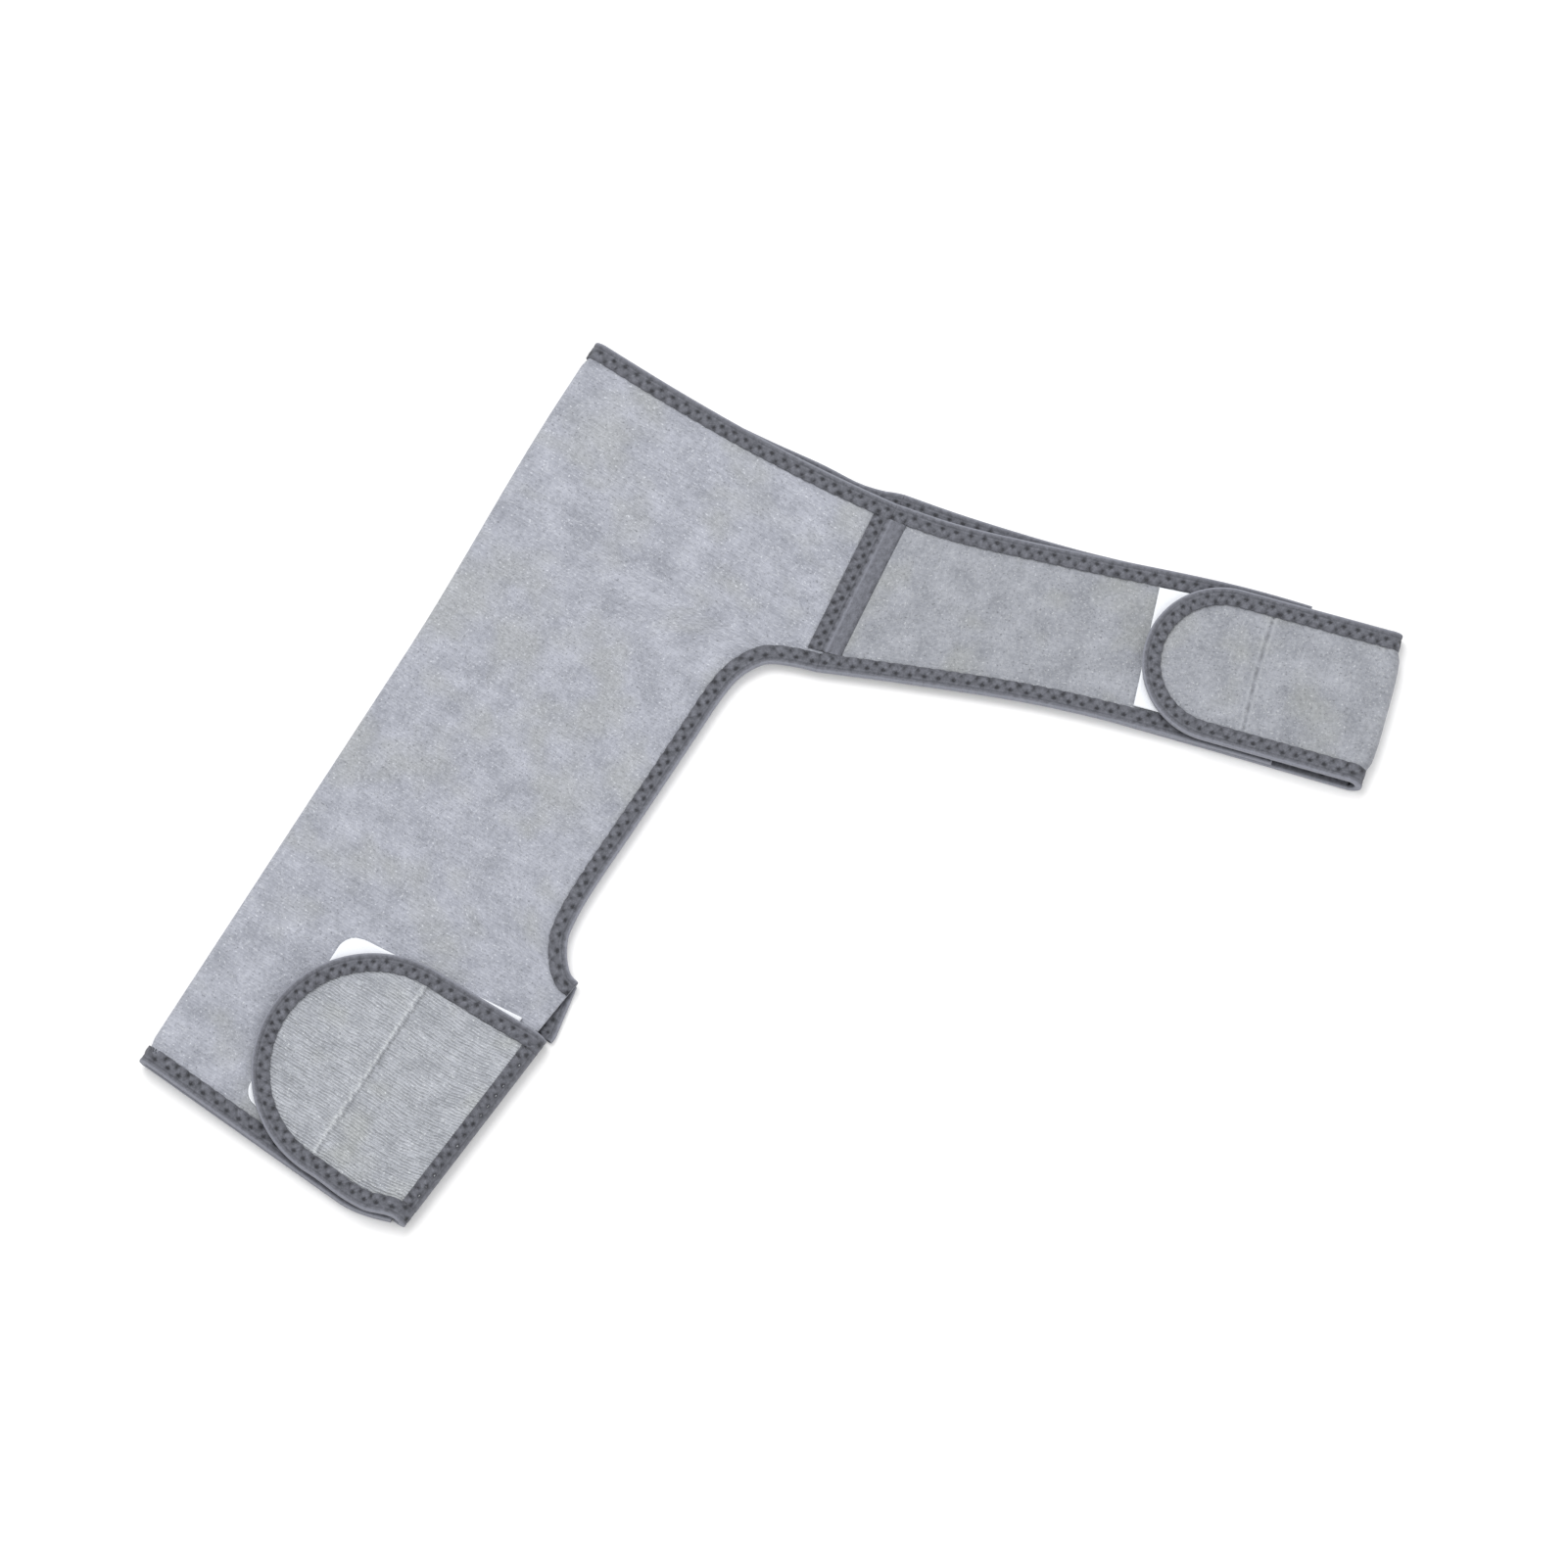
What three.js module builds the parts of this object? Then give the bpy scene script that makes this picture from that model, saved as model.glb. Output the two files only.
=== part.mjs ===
// Shoulder brace laid flat: a knitted wrap folded in half, with a chest strap and an arm cuff tab.
// Millimetres. X runs from the straight fold to the strap, Y from the cuff to the neck, Z is up.
import * as THREE from 'three';

// Cloth, tape and patches
const fabric = { thickness: 2.6, boundThickness: 1.4, swell: 3.9 };
const tape = { width: 9, thickness: 0.7, proud: 1, chamfer: 0.35 };
const patchThickness = 1;
const gap = 0.3;
const layerGap = 0.4;

// Sleeve: the body folded in half, with its cuff at Y = 0
const sleeve = { length: 418, width: 140, loft: 4.6, foldAt: 1.3 };
const cuffEdge = { fall: 9.3, cornerFrom: 118, cornerRise: 7.5 };
const neckEdge = { frontSag: 3.2, backSag: 5 };

// Side of the sleeve, from the cuff up to the armpit curve
const side = {
  cornerHeight: 140.1, cornerWidth: 157.7, notchHeight: 111.2, notchWidth: 161.4, notchRise: 2,
};

// Rows of cloth up the side to the notch, as shares of its height
const sideRows = [0.36, 0.68, 0.96];

// Rows from the notch up to the corner: shares of that climb on the fold and on either half's side
const notchRows = [
  { fold: 0, front: 0.22, back: 0 },
  { fold: 0.25, front: 0.45, back: 0 },
  { fold: 0.5, front: 0.7, back: 0.5 },
  { fold: 0.75, front: 1, back: 1 },
];

// Chest strap: its join lies joinPast beyond the sleeve's width and joinDrop below the neck. Its reach
// runs along X to the fold, and its front half ends at frontShare of that.
const strap = { joinPast: 29.1, joinDrop: 39.1, reach: 243.2, width: 78, frontShare: 0.86, foldBow: 2.7 };
const chestTab = { length: 74, tipRadius: 37.9, narrowing: 0.6, turn: 15.6 };

// Cuff tab: its fold line at the cuff end, the lean of that line, and its round end
const cuffTab = {
  foldAt: 144.5, foldLean: 0.089, middle: 52, tipAt: 98, tipRadius: 56.4, seamBack: 0.5, cornerRise: 3,
};

// Rows of the cuff tab, as shares of the way from its fold to its round end: thin at the seam
const cuffTabRows = [
  { share: 0.15, thin: true },
  { share: 0.22, thin: false },
  { share: 0.6, thin: false },
  { share: 1, thin: false },
];

// Bands and patches
const band = { width: 17, endGap: 1.3, cuffUnder: 4, cuffOver: 1.1 };
const bodyPatch = { left: 51.5, bottom: 9, top: 104, corner: 9, lean: 0.088 };
const strapPatch = { startShare: 0.632 };
const hookInset = 10;

// Columns of the body patch: how far along each corner and how much of it is cut, then shares of the rest
const patchCorner = [
  { along: 0, cut: 0.6 },
  { along: 0.3, cut: 0.3 },
  { along: 1, cut: 0 },
];
const patchRun = [0.25, 0.5, 0.75, 1];

// Facet counts
const foldSteps = 6;
const tipSteps = 6;
const spanColumns = 5;

// Armpit curve of both halves, as shares of the sleeve's width and length
const armpitCurve = [
  { across: 1.089, along: 0.339 },
  { across: 1.04, along: 0.356 },
  { across: 1.009, along: 0.376 },
  { across: 0.996, along: 0.402 },
  { across: 0.992, along: 0.436 },
  { across: 0.999, along: 0.531 },
  { across: 1.006, along: 0.646 },
  { across: 1.011, along: 0.718 },
  { across: 1.022, along: 0.741 },
  { across: 1.046, along: 0.76 },
  { across: 1.083, along: 0.776 },
  { across: 1.171, along: 0.79 },
];

// Sections of the chest strap: shares of its reach and width, the turn in degrees,
// and how far the back half lies above the front one, as a share of the width
const strapSections = [
  { out: 0, rise: 0, width: 1.173, turn: 6, lift: 0.09 },
  { out: 0.144, rise: 0.049, width: 1.058, turn: 13, lift: 0.083 },
  { out: 0.387, rise: 0.138, width: 0.994, turn: 20, lift: 0.03 },
  { out: 0.712, rise: 0.243, width: 1.02, turn: 17, lift: 0 },
  { out: 1, rise: 0.317, width: 1, turn: 15.6, lift: 0 },
];

// Heights and reaches that follow from the sizes above
const fullHalf = fabric.thickness / 2;
const boundHalf = fabric.boundThickness / 2;
const tapeInner = boundHalf + gap;
const tapeHalf = tapeInner + tape.thickness;
const tapeReach = tape.width - tape.proud;
const boundReach = tapeReach + 3 * gap;
const swellReach = boundReach + fabric.swell;
const lowMid = fullHalf;
const lowBoundMid = tapeHalf;
const frontMid = 3 * tapeHalf + layerGap;
const patchMid = fullHalf + gap + patchThickness / 2;
const hookMid = patchMid + patchThickness + gap;
const tabMid = hookMid + patchThickness / 2 + gap + fullHalf;
const insets = [0, boundReach, swellReach];

const radians = THREE.MathUtils.degToRad;
const vector = (x, y, z = 0) => new THREE.Vector3(x, y, z);
const mix = (a, b, t) => a.clone().lerp(b, t);

// Collects triangles, merges points that coincide and drops triangles that collapse
class Facets {
  constructor() {
    this.points = [];
    this.known = new Map();
    this.faces = [];
  }

  point(v) {
    const key = [v.x, v.y, v.z].map((c) => Math.round(c * 1e4)).join();
    if (!this.known.has(key)) {
      this.known.set(key, this.points.length);
      this.points.push(v);
    }
    return this.known.get(key);
  }

  triangle(a, b, c) {
    if (a !== b && b !== c && c !== a) this.faces.push([a, b, c]);
  }

  quad(a, b, c, d) {
    this.triangle(a, b, c);
    this.triangle(a, c, d);
  }

  volume() {
    const cross = new THREE.Vector3();
    return this.faces.reduce((sum, [a, b, c]) => {
      cross.crossVectors(this.points[b], this.points[c]);
      return sum + this.points[a].dot(cross) / 6;
    }, 0);
  }

  geometry() {
    const outward = this.volume() > 0 ? this.faces : this.faces.map(([a, b, c]) => [a, c, b]);
    const geometry = new THREE.BufferGeometry();
    const numbers = this.points.flatMap((v) => v.toArray());
    geometry.setAttribute('position', new THREE.Float32BufferAttribute(numbers, 3));
    geometry.setIndex(outward.flat());
    geometry.computeVertexNormals();
    return geometry;
  }
}

// A sheet of cloth from a grid of cells, each with its middle point, its normal and half its thickness
function sheet(grid, { roundEnd = false } = {}) {
  const solid = new Facets();
  const face = (sign) => grid.map((row) => row.map((cell) =>
    solid.point(cell.at.clone().addScaledVector(cell.normal, sign * cell.half))));
  const upper = face(1);
  const lower = face(-1);
  const lastRow = grid.length - 1;
  const lastColumn = grid[0].length - 1;
  for (let i = 0; i < lastRow; i += 1) {
    for (let j = 0; j < lastColumn; j += 1) {
      solid.quad(upper[i][j], upper[i][j + 1], upper[i + 1][j + 1], upper[i + 1][j]);
      solid.quad(lower[i][j], lower[i + 1][j], lower[i + 1][j + 1], lower[i][j + 1]);
    }
    solid.quad(upper[i][0], upper[i + 1][0], lower[i + 1][0], lower[i][0]);
    const last = lastColumn;
    solid.quad(upper[i + 1][last], upper[i][last], lower[i][last], lower[i + 1][last]);
  }
  for (let j = 0; j < lastColumn; j += 1) {
    solid.quad(upper[0][j + 1], upper[0][j], lower[0][j], lower[0][j + 1]);
    if (!roundEnd) {
      solid.quad(upper[lastRow][j], upper[lastRow][j + 1], lower[lastRow][j + 1], lower[lastRow][j]);
    }
  }
  return solid.geometry();
}

// Frames along a bound edge: each point, its normal and the mitred direction away from the cloth.
// A given cut direction at either end makes that end lie along a join line.
function edgeFrames(cells, hand, { startCut, endCut } = {}) {
  const away = (from, to, normal) => {
    const along = to.at.clone().sub(from.at);
    return along.cross(normal).multiplyScalar(hand).normalize();
  };
  return cells.map((cell, k) => {
    const before = away(cells[Math.max(k - 1, 0)], cells[Math.max(k, 1)], cell.normal);
    const last = cells.length - 1;
    const after = away(cells[Math.min(k, last - 1)], cells[Math.min(k + 1, last)], cell.normal);
    let out = before.clone().add(after).divideScalar(1 + before.dot(after));
    const cut = (k === 0 && startCut) || (k === last && endCut);
    if (cut) out = cut.clone().divideScalar(cut.dot(before));
    return { at: cell.at, normal: cell.normal, out };
  });
}

// Folded tape round an edge: a U-shaped section carried along the edge's frames
function binding(frames) {
  const round = tape.proud - tape.chamfer;
  const section = [
    [-tapeReach, tapeHalf], [round, tapeHalf], [tape.proud, tapeHalf - tape.chamfer],
    [tape.proud, tape.chamfer - tapeHalf], [round, -tapeHalf], [-tapeReach, -tapeHalf],
    [-tapeReach, -tapeInner], [gap, -tapeInner], [gap, tapeInner], [-tapeReach, tapeInner],
  ];
  const solid = new Facets();
  const rings = frames.map((frame) => section.map(([reach, height]) => solid.point(
    frame.at.clone().addScaledVector(frame.out, reach).addScaledVector(frame.normal, height))));
  const sides = section.length;
  for (let k = 0; k < rings.length - 1; k += 1) {
    for (let s = 0; s < sides; s += 1) {
      const next = (s + 1) % sides;
      solid.quad(rings[k][s], rings[k][next], rings[k + 1][next], rings[k + 1][s]);
    }
  }
  const capFaces = [
    [0, 1, 8], [0, 8, 9], [1, 2, 8], [2, 3, 7], [2, 7, 8], [3, 4, 7], [4, 5, 6], [4, 6, 7],
  ];
  const end = rings[rings.length - 1];
  for (const [a, b, c] of capFaces) {
    solid.triangle(rings[0][c], rings[0][b], rings[0][a]);
    solid.triangle(end[a], end[b], end[c]);
  }
  return solid.geometry();
}

// Height and normal of the front half's middle surface, which lofts towards the fold
function frontSurface(point, above = 0) {
  const share = THREE.MathUtils.clamp(point.x / sleeve.width, 0, 1);
  const slope = -sleeve.loft * Math.PI / sleeve.width / 2 * Math.sin(Math.PI * share);
  const normal = vector(-slope, 0, 1).normalize();
  const height = frontMid + sleeve.loft * (1 + Math.cos(Math.PI * share)) / 2;
  return { at: vector(point.x, point.y, height).addScaledVector(normal, above), normal };
}

// The cuff tab's fold line leans: where it lies at a height Y, its direction and the way ahead of it
const cuffFoldAt = (y) => cuffTab.foldAt + cuffTab.foldLean * y;
const cuffLine = vector(cuffTab.foldLean, 1).normalize();
const cuffAhead = vector(cuffLine.y, -cuffLine.x);

// Left and right edges of the chest strap, and its join line to the body, for one half
function strapEdges(liftShare) {
  const edge = (hand) => new THREE.CatmullRomCurve3(strapSections.map((section) => {
    const turn = radians(section.turn);
    const half = hand * section.width * strap.width / 2;
    const x = sleeve.width + strap.joinPast + section.out * strap.reach - Math.sin(turn) * half;
    const lift = section.lift * strap.width * liftShare;
    const middle = sleeve.length - strap.joinDrop + section.rise * strap.reach + lift;
    return vector(x, middle + Math.cos(turn) * half);
  }));
  const left = edge(1);
  const right = edge(-1);
  const across = left.getPoint(0).sub(right.getPoint(0)).normalize();
  const along = vector(across.y, -across.x);
  return { left, right, across, along };
}

const frontEdges = strapEdges(0);
const backEdges = strapEdges(1);

// Corners where one half of the body meets the strap, set back by the gap
function joinCorners(edges) {
  const set = (curve) => curve.getPoint(0).addScaledVector(edges.along, -gap);
  return { upper: set(edges.left), lower: set(edges.right) };
}

// Rows of the body: where each leaves the fold, where it ends on the open side, and whether it is thin.
// The front half's side runs inside the cuff tab; the back half's side is notched to pass it.
function bodyRows() {
  const cuffPoint = (inset, shift) => {
    const y = inset - cuffEdge.fall + cuffEdge.cornerRise;
    return vector(cuffFoldAt(y) + shift, y);
  };
  const frontSide = (y) => vector(cuffFoldAt(y) - gap, y);
  const backSide = (y) => vector(cuffFoldAt(y) - cuffTab.seamBack - gap, y);
  const rows = insets.map((inset) => ({
    fold: inset,
    front: cuffPoint(inset, -gap),
    back: cuffPoint(inset, -cuffTab.seamBack - gap),
    thin: inset < swellReach,
    cuff: true,
  }));
  const notch = side.notchHeight;
  for (const share of sideRows) {
    rows.push({ fold: notch * share, front: frontSide(notch * share), back: backSide(notch * share) });
  }

  const climb = side.cornerHeight - notch;
  const corner = vector(side.cornerWidth, side.cornerHeight);
  const backCorner = corner.clone().sub(vector(2 * gap, 5 * gap));
  const notchPoint = vector(side.notchWidth, notch + side.notchRise);
  const sideTop = rows[rows.length - 1].front;
  notchRows.forEach((shares, k) => {
    rows.push({
      fold: notch + climb * shares.fold,
      front: mix(sideTop, corner, shares.front),
      back: k === 0 ? backSide(notch) : mix(notchPoint, backCorner, shares.back),
      bindsBack: k === 1,
    });
  });

  const frontJoin = joinCorners(frontEdges);
  const backJoin = joinCorners(backEdges);
  const curvePoints = armpitCurve.map((p) => vector(p.across * sleeve.width, p.along * sleeve.length));
  const armpitStart = rows[rows.length - 1].fold;
  const armpitEnd = frontJoin.lower.y - swellReach;
  const liftAtJoin = backJoin.lower.clone().sub(frontJoin.lower);
  curvePoints.forEach((point, k) => {
    const share = (k + 1) / (curvePoints.length + 1);
    const shift = mix(vector(-2 * gap, 0), liftAtJoin, share ** 6);
    rows.push({
      fold: THREE.MathUtils.lerp(armpitStart, armpitEnd, share),
      front: point,
      back: point.clone().add(shift),
    });
  });
  rows.push({ fold: armpitEnd, front: frontJoin.lower, back: backJoin.lower, join: true });

  const top = sleeve.length;
  for (const share of [0.3, 0.6]) {
    rows.push({
      fold: armpitEnd + (top - armpitEnd) * share,
      front: mix(frontJoin.lower, frontJoin.upper, share),
      back: mix(backJoin.lower, backJoin.upper, share),
    });
  }
  for (const drop of [swellReach, boundReach, 0]) {
    rows.push({
      fold: top - drop,
      front: frontJoin.upper.clone().addScaledVector(frontEdges.across, -drop),
      back: backJoin.upper.clone().addScaledVector(backEdges.across, -drop),
      thin: drop < swellReach,
      neck: true,
    });
  }
  return rows;
}

// Direction into the cloth at each row's end: along the row at the hems, mitred to the edge between them
function inwardDirections(rows, key) {
  return rows.map((row, k) => {
    const alongRow = vector(0, row.fold).sub(row[key]).normalize();
    const seam = key === 'back' && k <= rows.findIndex((r) => r.bindsBack);
    if (row.cuff || row.neck || seam) return alongRow;
    const normalOf = (a, b) => vector(a.y - b.y, b.x - a.x).normalize();
    const before = normalOf(rows[k - 1][key], row[key]);
    const after = normalOf(row[key], rows[k + 1][key]);
    return before.clone().add(after).divideScalar(1 + before.dot(after));
  });
}

// The body's grid: from the back half's open edge, round the fold, to the front half's open edge
function bodyGrid() {
  const rows = bodyRows();
  const directions = { front: inwardDirections(rows, 'front'), back: inwardDirections(rows, 'back') };
  return rows.map((row, k) => {
    const lowFold = row.thin ? lowBoundMid : lowMid;
    const foldTop = frontSurface(vector(0, 0)).at.z;
    const radius = (foldTop - lowFold) / 2;
    const foldPoint = vector(sleeve.foldAt + radius, row.fold);

    const planPoints = (key, sag) => {
      const edge = insets.map((inset) => ({
        plan: row[key].clone().addScaledVector(directions[key][k], inset), bound: inset < swellReach,
      }));
      const inner = edge[edge.length - 1].plan;
      const span = Array.from({ length: spanColumns }, (_, j) => ({
        plan: mix(inner, foldPoint, (j + 1) / (spanColumns + 1)), bound: false,
      }));
      const cells = [...edge, ...span];
      for (const cell of cells) {
        const share = THREE.MathUtils.clamp(cell.plan.x / row[key].x, 0, 1);
        if (row.neck) cell.plan.y -= sag * 4 * share * (1 - share);
        if (row.cuff) {
          const turnUp = THREE.MathUtils.smoothstep(cell.plan.x, cuffEdge.cornerFrom, row[key].x);
          cell.plan.y += cuffEdge.cornerRise * (turnUp - share);
        }
      }
      return cells;
    };

    const back = planPoints('back', neckEdge.backSag).map(({ plan, bound }) => {
      const thin = bound || row.thin;
      return {
        at: vector(plan.x, plan.y, thin ? lowBoundMid : lowMid),
        normal: vector(0, 0, -1),
        half: thin ? boundHalf : fullHalf,
      };
    });
    const front = planPoints('front', neckEdge.frontSag).map(({ plan, bound }) => ({
      ...frontSurface(plan), half: bound || row.thin ? boundHalf : fullHalf,
    })).reverse();
    const fold = Array.from({ length: foldSteps + 1 }, (_, s) => {
      const angle = Math.PI * (s / foldSteps - 0.5);
      const normal = vector(-Math.cos(angle), 0, Math.sin(angle));
      const at = vector(foldPoint.x, row.fold, lowFold + radius).addScaledVector(normal, radius);
      return { at, normal, half: row.thin ? boundHalf : fullHalf };
    });
    return [...back, ...fold, ...front];
  });
}

// Cells of a ribbon: each station has a middle, a direction to either edge, a half width and a lift rule
function ribbonGrid(stations, { edges = insets, above = 0, half } = {}) {
  return stations.map((station) => {
    const cellAt = (toEdge, inset) => {
      const reach = Math.max(station.half - inset, 0);
      const plan = station.middle.clone().addScaledVector(toEdge, reach);
      const thin = station.thin || inset < swellReach;
      const cell = station.place(plan, thin, reach / station.half);
      cell.at.addScaledVector(cell.normal, above);
      cell.half = half ?? (thin ? boundHalf : fullHalf);
      return cell;
    };
    return [
      ...edges.map((inset) => cellAt(station.left, inset)),
      cellAt(station.left, station.half),
      ...edges.map((inset) => cellAt(station.right, inset)).reverse(),
    ];
  });
}

// A station between a left and a right edge point
function station(leftPoint, rightPoint, place, thin = false) {
  const left = leftPoint.clone().sub(rightPoint).normalize();
  const half = leftPoint.distanceTo(rightPoint) / 2;
  return { middle: mix(leftPoint, rightPoint, 0.5), left, right: left.clone().negate(), half, place, thin };
}

// Stations that sweep a round end about its middle, from straight across to straight ahead
function roundEnd(middle, ahead, left, radius, place) {
  return Array.from({ length: tipSteps }, (_, s) => {
    const angle = (Math.PI / 2) * (s + 1) / tipSteps;
    const sweep = (hand) => {
      const sideways = left.clone().multiplyScalar(hand * Math.cos(angle));
      return sideways.addScaledVector(ahead, Math.sin(angle));
    };
    return { middle, left: sweep(1), right: sweep(-1), half: radius, place, thin: false };
  });
}

// Rules that give a plan point its height and normal
const onFloor = (plan, thin) => {
  const height = thin ? lowBoundMid : lowMid;
  return { at: vector(plan.x, plan.y, height), normal: vector(0, 0, 1) };
};
const onFront = (plan) => frontSurface(plan);
const atTab = (plan) => {
  const cell = frontSurface(plan, tabMid);
  cell.normal.negate();
  return cell;
};

// A turn about a fold line, from the floor up to the tab's height
function turnOver(angle, shiftOf) {
  const top = frontMid + tabMid;
  return (plan, thin, outward) => {
    const low = thin ? lowBoundMid : lowMid;
    const radius = (top - low) / 2;
    const { point, ahead } = shiftOf(plan, outward);
    const at = vector(point.x, point.y, low + radius);
    const radial = ahead.clone().multiplyScalar(Math.cos(angle)).add(vector(0, 0, Math.sin(angle)));
    return { at: at.addScaledVector(radial, radius), normal: radial.negate() };
  };
}

// Chest strap stations along one half, from the join to a share of the reach
function strapRun(edges, shares, place) {
  return shares.map((share) => station(edges.left.getPoint(share), edges.right.getPoint(share), place));
}

// First stations after a join: at the join line and at the ends of the thin and swelling stretches
function joinStations(edges, place) {
  return insets.map((inset) => {
    const t = (curve) => curve.getPointAt(inset / curve.getLength());
    return station(t(edges.left), t(edges.right), place, inset < swellReach);
  });
}

// Stations at a square bound end, the outermost last
function endStations(edges, share, place) {
  const left = edges.left.getPoint(share);
  const right = edges.right.getPoint(share);
  const across = left.clone().sub(right).normalize();
  const back = vector(-across.y, across.x);
  return [...insets].reverse().map((inset) => {
    const setBack = (point) => point.clone().addScaledVector(back, inset);
    return station(setBack(left), setBack(right), place, inset < swellReach);
  });
}

const frontStrapStations = [
  ...joinStations(frontEdges, onFront),
  ...strapRun(frontEdges, [0.16, 0.28, 0.4, 0.52, 0.64, 0.74], onFront),
  ...endStations(frontEdges, strap.frontShare, onFront),
];

function backStrapStations() {
  const ahead = vector(Math.cos(radians(chestTab.turn)), Math.sin(radians(chestTab.turn)));
  const left = vector(-ahead.y, ahead.x);
  const foldLeft = backEdges.left.getPoint(1);
  const foldRight = backEdges.right.getPoint(1);
  const foldMiddle = mix(foldLeft, foldRight, 0.5);
  const foldHalf = foldLeft.distanceTo(foldRight) / 2;
  const tabHalf = chestTab.tipRadius - chestTab.narrowing;
  const turns = Array.from({ length: foldSteps + 1 }, (_, s) => {
    const share = s / foldSteps;
    const angle = Math.PI * (share - 0.5);
    const half = THREE.MathUtils.lerp(foldHalf, tabHalf, share);
    const across = mix(foldLeft.clone().sub(foldRight).normalize(), left, share).normalize();
    const forward = vector(across.y, -across.x);
    const place = turnOver(angle, (plan, outward) => {
      const bow = strap.foldBow * Math.max(0, 1 - (outward * half / (half - boundReach)) ** 2);
      return { point: plan.clone().addScaledVector(forward, bow), ahead: forward };
    });
    return { middle: foldMiddle, left: across, right: across.clone().negate(), half, place, thin: false };
  });
  const tipMiddle = foldMiddle.clone().addScaledVector(ahead, -chestTab.length);
  const run = [0.35, 0.7, 1].map((share) => ({
    middle: mix(foldMiddle, tipMiddle, share), left, right: left.clone().negate(),
    half: THREE.MathUtils.lerp(tabHalf, chestTab.tipRadius, share), place: atTab, thin: false,
  }));
  const tip = roundEnd(tipMiddle, ahead.clone().negate(), left, chestTab.tipRadius, atTab);
  return {
    lower: [
      ...joinStations(backEdges, onFloor),
      ...strapRun(backEdges, [0.16, 0.28, 0.4, 0.54, 0.68, 0.82, 0.94], onFloor),
    ],
    turns,
    upper: [...run, ...tip],
  };
}

const backStrap = backStrapStations();

// Upper and lower end of a line along the cuff tab's fold, shifted along X; the lower corner is raised
function cuffFoldLine(shift, reach = cuffTab.tipRadius) {
  const endAt = (y) => vector(cuffFoldAt(y) + shift, y);
  return [endAt(cuffTab.middle + reach), endAt(cuffTab.middle - reach + cuffTab.cornerRise)];
}

function cuffTabStations() {
  const start = station(...cuffFoldLine(-cuffTab.seamBack), onFloor, true);
  const turns = Array.from({ length: foldSteps + 1 }, (_, s) => {
    const angle = Math.PI * (s / foldSteps - 0.5);
    const place = turnOver(angle, (plan) => ({ point: plan, ahead: cuffAhead }));
    return station(...cuffFoldLine(0), place, true);
  });
  const [foldTop, foldBottom] = cuffFoldLine(0);
  const tipMiddle = vector(cuffTab.tipAt, cuffTab.middle);
  const tipTop = tipMiddle.clone().add(vector(0, cuffTab.tipRadius));
  const tipBottom = tipMiddle.clone().sub(vector(0, cuffTab.tipRadius));
  const run = cuffTabRows.map(({ share, thin }) => {
    const dip = cuffTab.cornerRise * (THREE.MathUtils.smoothstep(share, 0, 0.5) - share);
    const lower = mix(foldBottom, tipBottom, share).sub(vector(0, dip));
    return station(mix(foldTop, tipTop, share), lower, atTab, thin);
  });
  const tip = roundEnd(tipMiddle, vector(-1, 0), vector(0, 1), cuffTab.tipRadius, atTab);
  return { start, turns, run, tip };
}

const cuffParts = cuffTabStations();

// Outline of a ribbon with a round end: out along the left edge, round the end and back along the right
function roundOutline(grid) {
  const last = grid[0].length - 1;
  return [...grid.map((row) => row[0]), ...grid.slice(0, -1).reverse().map((row) => row[last])];
}

// Outline of a ribbon with a square end
function squareOutline(grid) {
  const last = grid[0].length - 1;
  const end = grid[grid.length - 1];
  const sides = grid.slice(0, -1);
  return [...sides.map((row) => row[0]), ...end, ...sides.reverse().map((row) => row[last])];
}

// A flat strip of tape over a join line, trimmed to lie between the bindings of its two edges
function joinBand(edges, height, hand) {
  const reach = tapeReach + band.endGap;
  const rows = 4;
  const columns = [-0.5, 0, 0.5].map((share) => {
    const shift = share * band.width;
    const follow = (curve) => (shift > 0 ? curve.getPointAt(shift / curve.getLength())
      : curve.getPoint(0).addScaledVector(edges.along, shift - gap / 2));
    return {
      from: follow(edges.left).addScaledVector(edges.across, -reach),
      to: follow(edges.right).addScaledVector(edges.across, reach),
    };
  });
  const grid = Array.from({ length: rows + 1 }, (_, i) => columns.map(({ from, to }) => ({
    at: mix(from, to, i / rows).setZ(height + hand * (tapeInner + tape.thickness / 2)),
    normal: vector(0, 0, 1),
    half: tape.thickness / 2,
  })));
  return sheet(grid);
}

// The band over the cuff tab's seam: under the back half, round the fold and a little over the tab
function cuffBand() {
  const reach = cuffTab.tipRadius - tapeReach - gap;
  const under = station(...cuffFoldLine(-cuffTab.seamBack - band.cuffUnder, reach), onFloor, true);
  const over = station(...cuffFoldLine(-band.cuffOver, reach), atTab, true);
  const turns = cuffParts.turns.map((turn) => station(...cuffFoldLine(0, reach), turn.place, true));
  return sheet(ribbonGrid([under, ...turns, over], {
    edges: [0], above: -tapeInner - tape.thickness / 2, half: tape.thickness / 2,
  }));
}

// A white patch on the front of the body, with two corners cut and a top edge that leans
function bodyPatchGeometry() {
  const { left, bottom, top, corner, lean } = bodyPatch;
  const cornerColumns = patchCorner.map(({ along, cut }) => (
    { from: left + corner * along, share: 0, inset: corner * cut }));
  const runColumns = patchRun.map((share) => ({ from: left + corner, share, inset: 0 }));
  const grid = [...cornerColumns, ...runColumns].map(({ from, share, inset }) => {
    const heights = [top - inset, (top + bottom) / 2, bottom + inset];
    return heights.map((height) => {
      const right = cuffFoldAt(height) - gap - boundReach;
      const x = THREE.MathUtils.lerp(from, right, share);
      const y = height + lean * (x - left) * (height - bottom) / (top - bottom);
      return { ...frontSurface(vector(x, y), patchMid), half: patchThickness / 2 };
    });
  });
  return sheet(grid);
}

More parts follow.
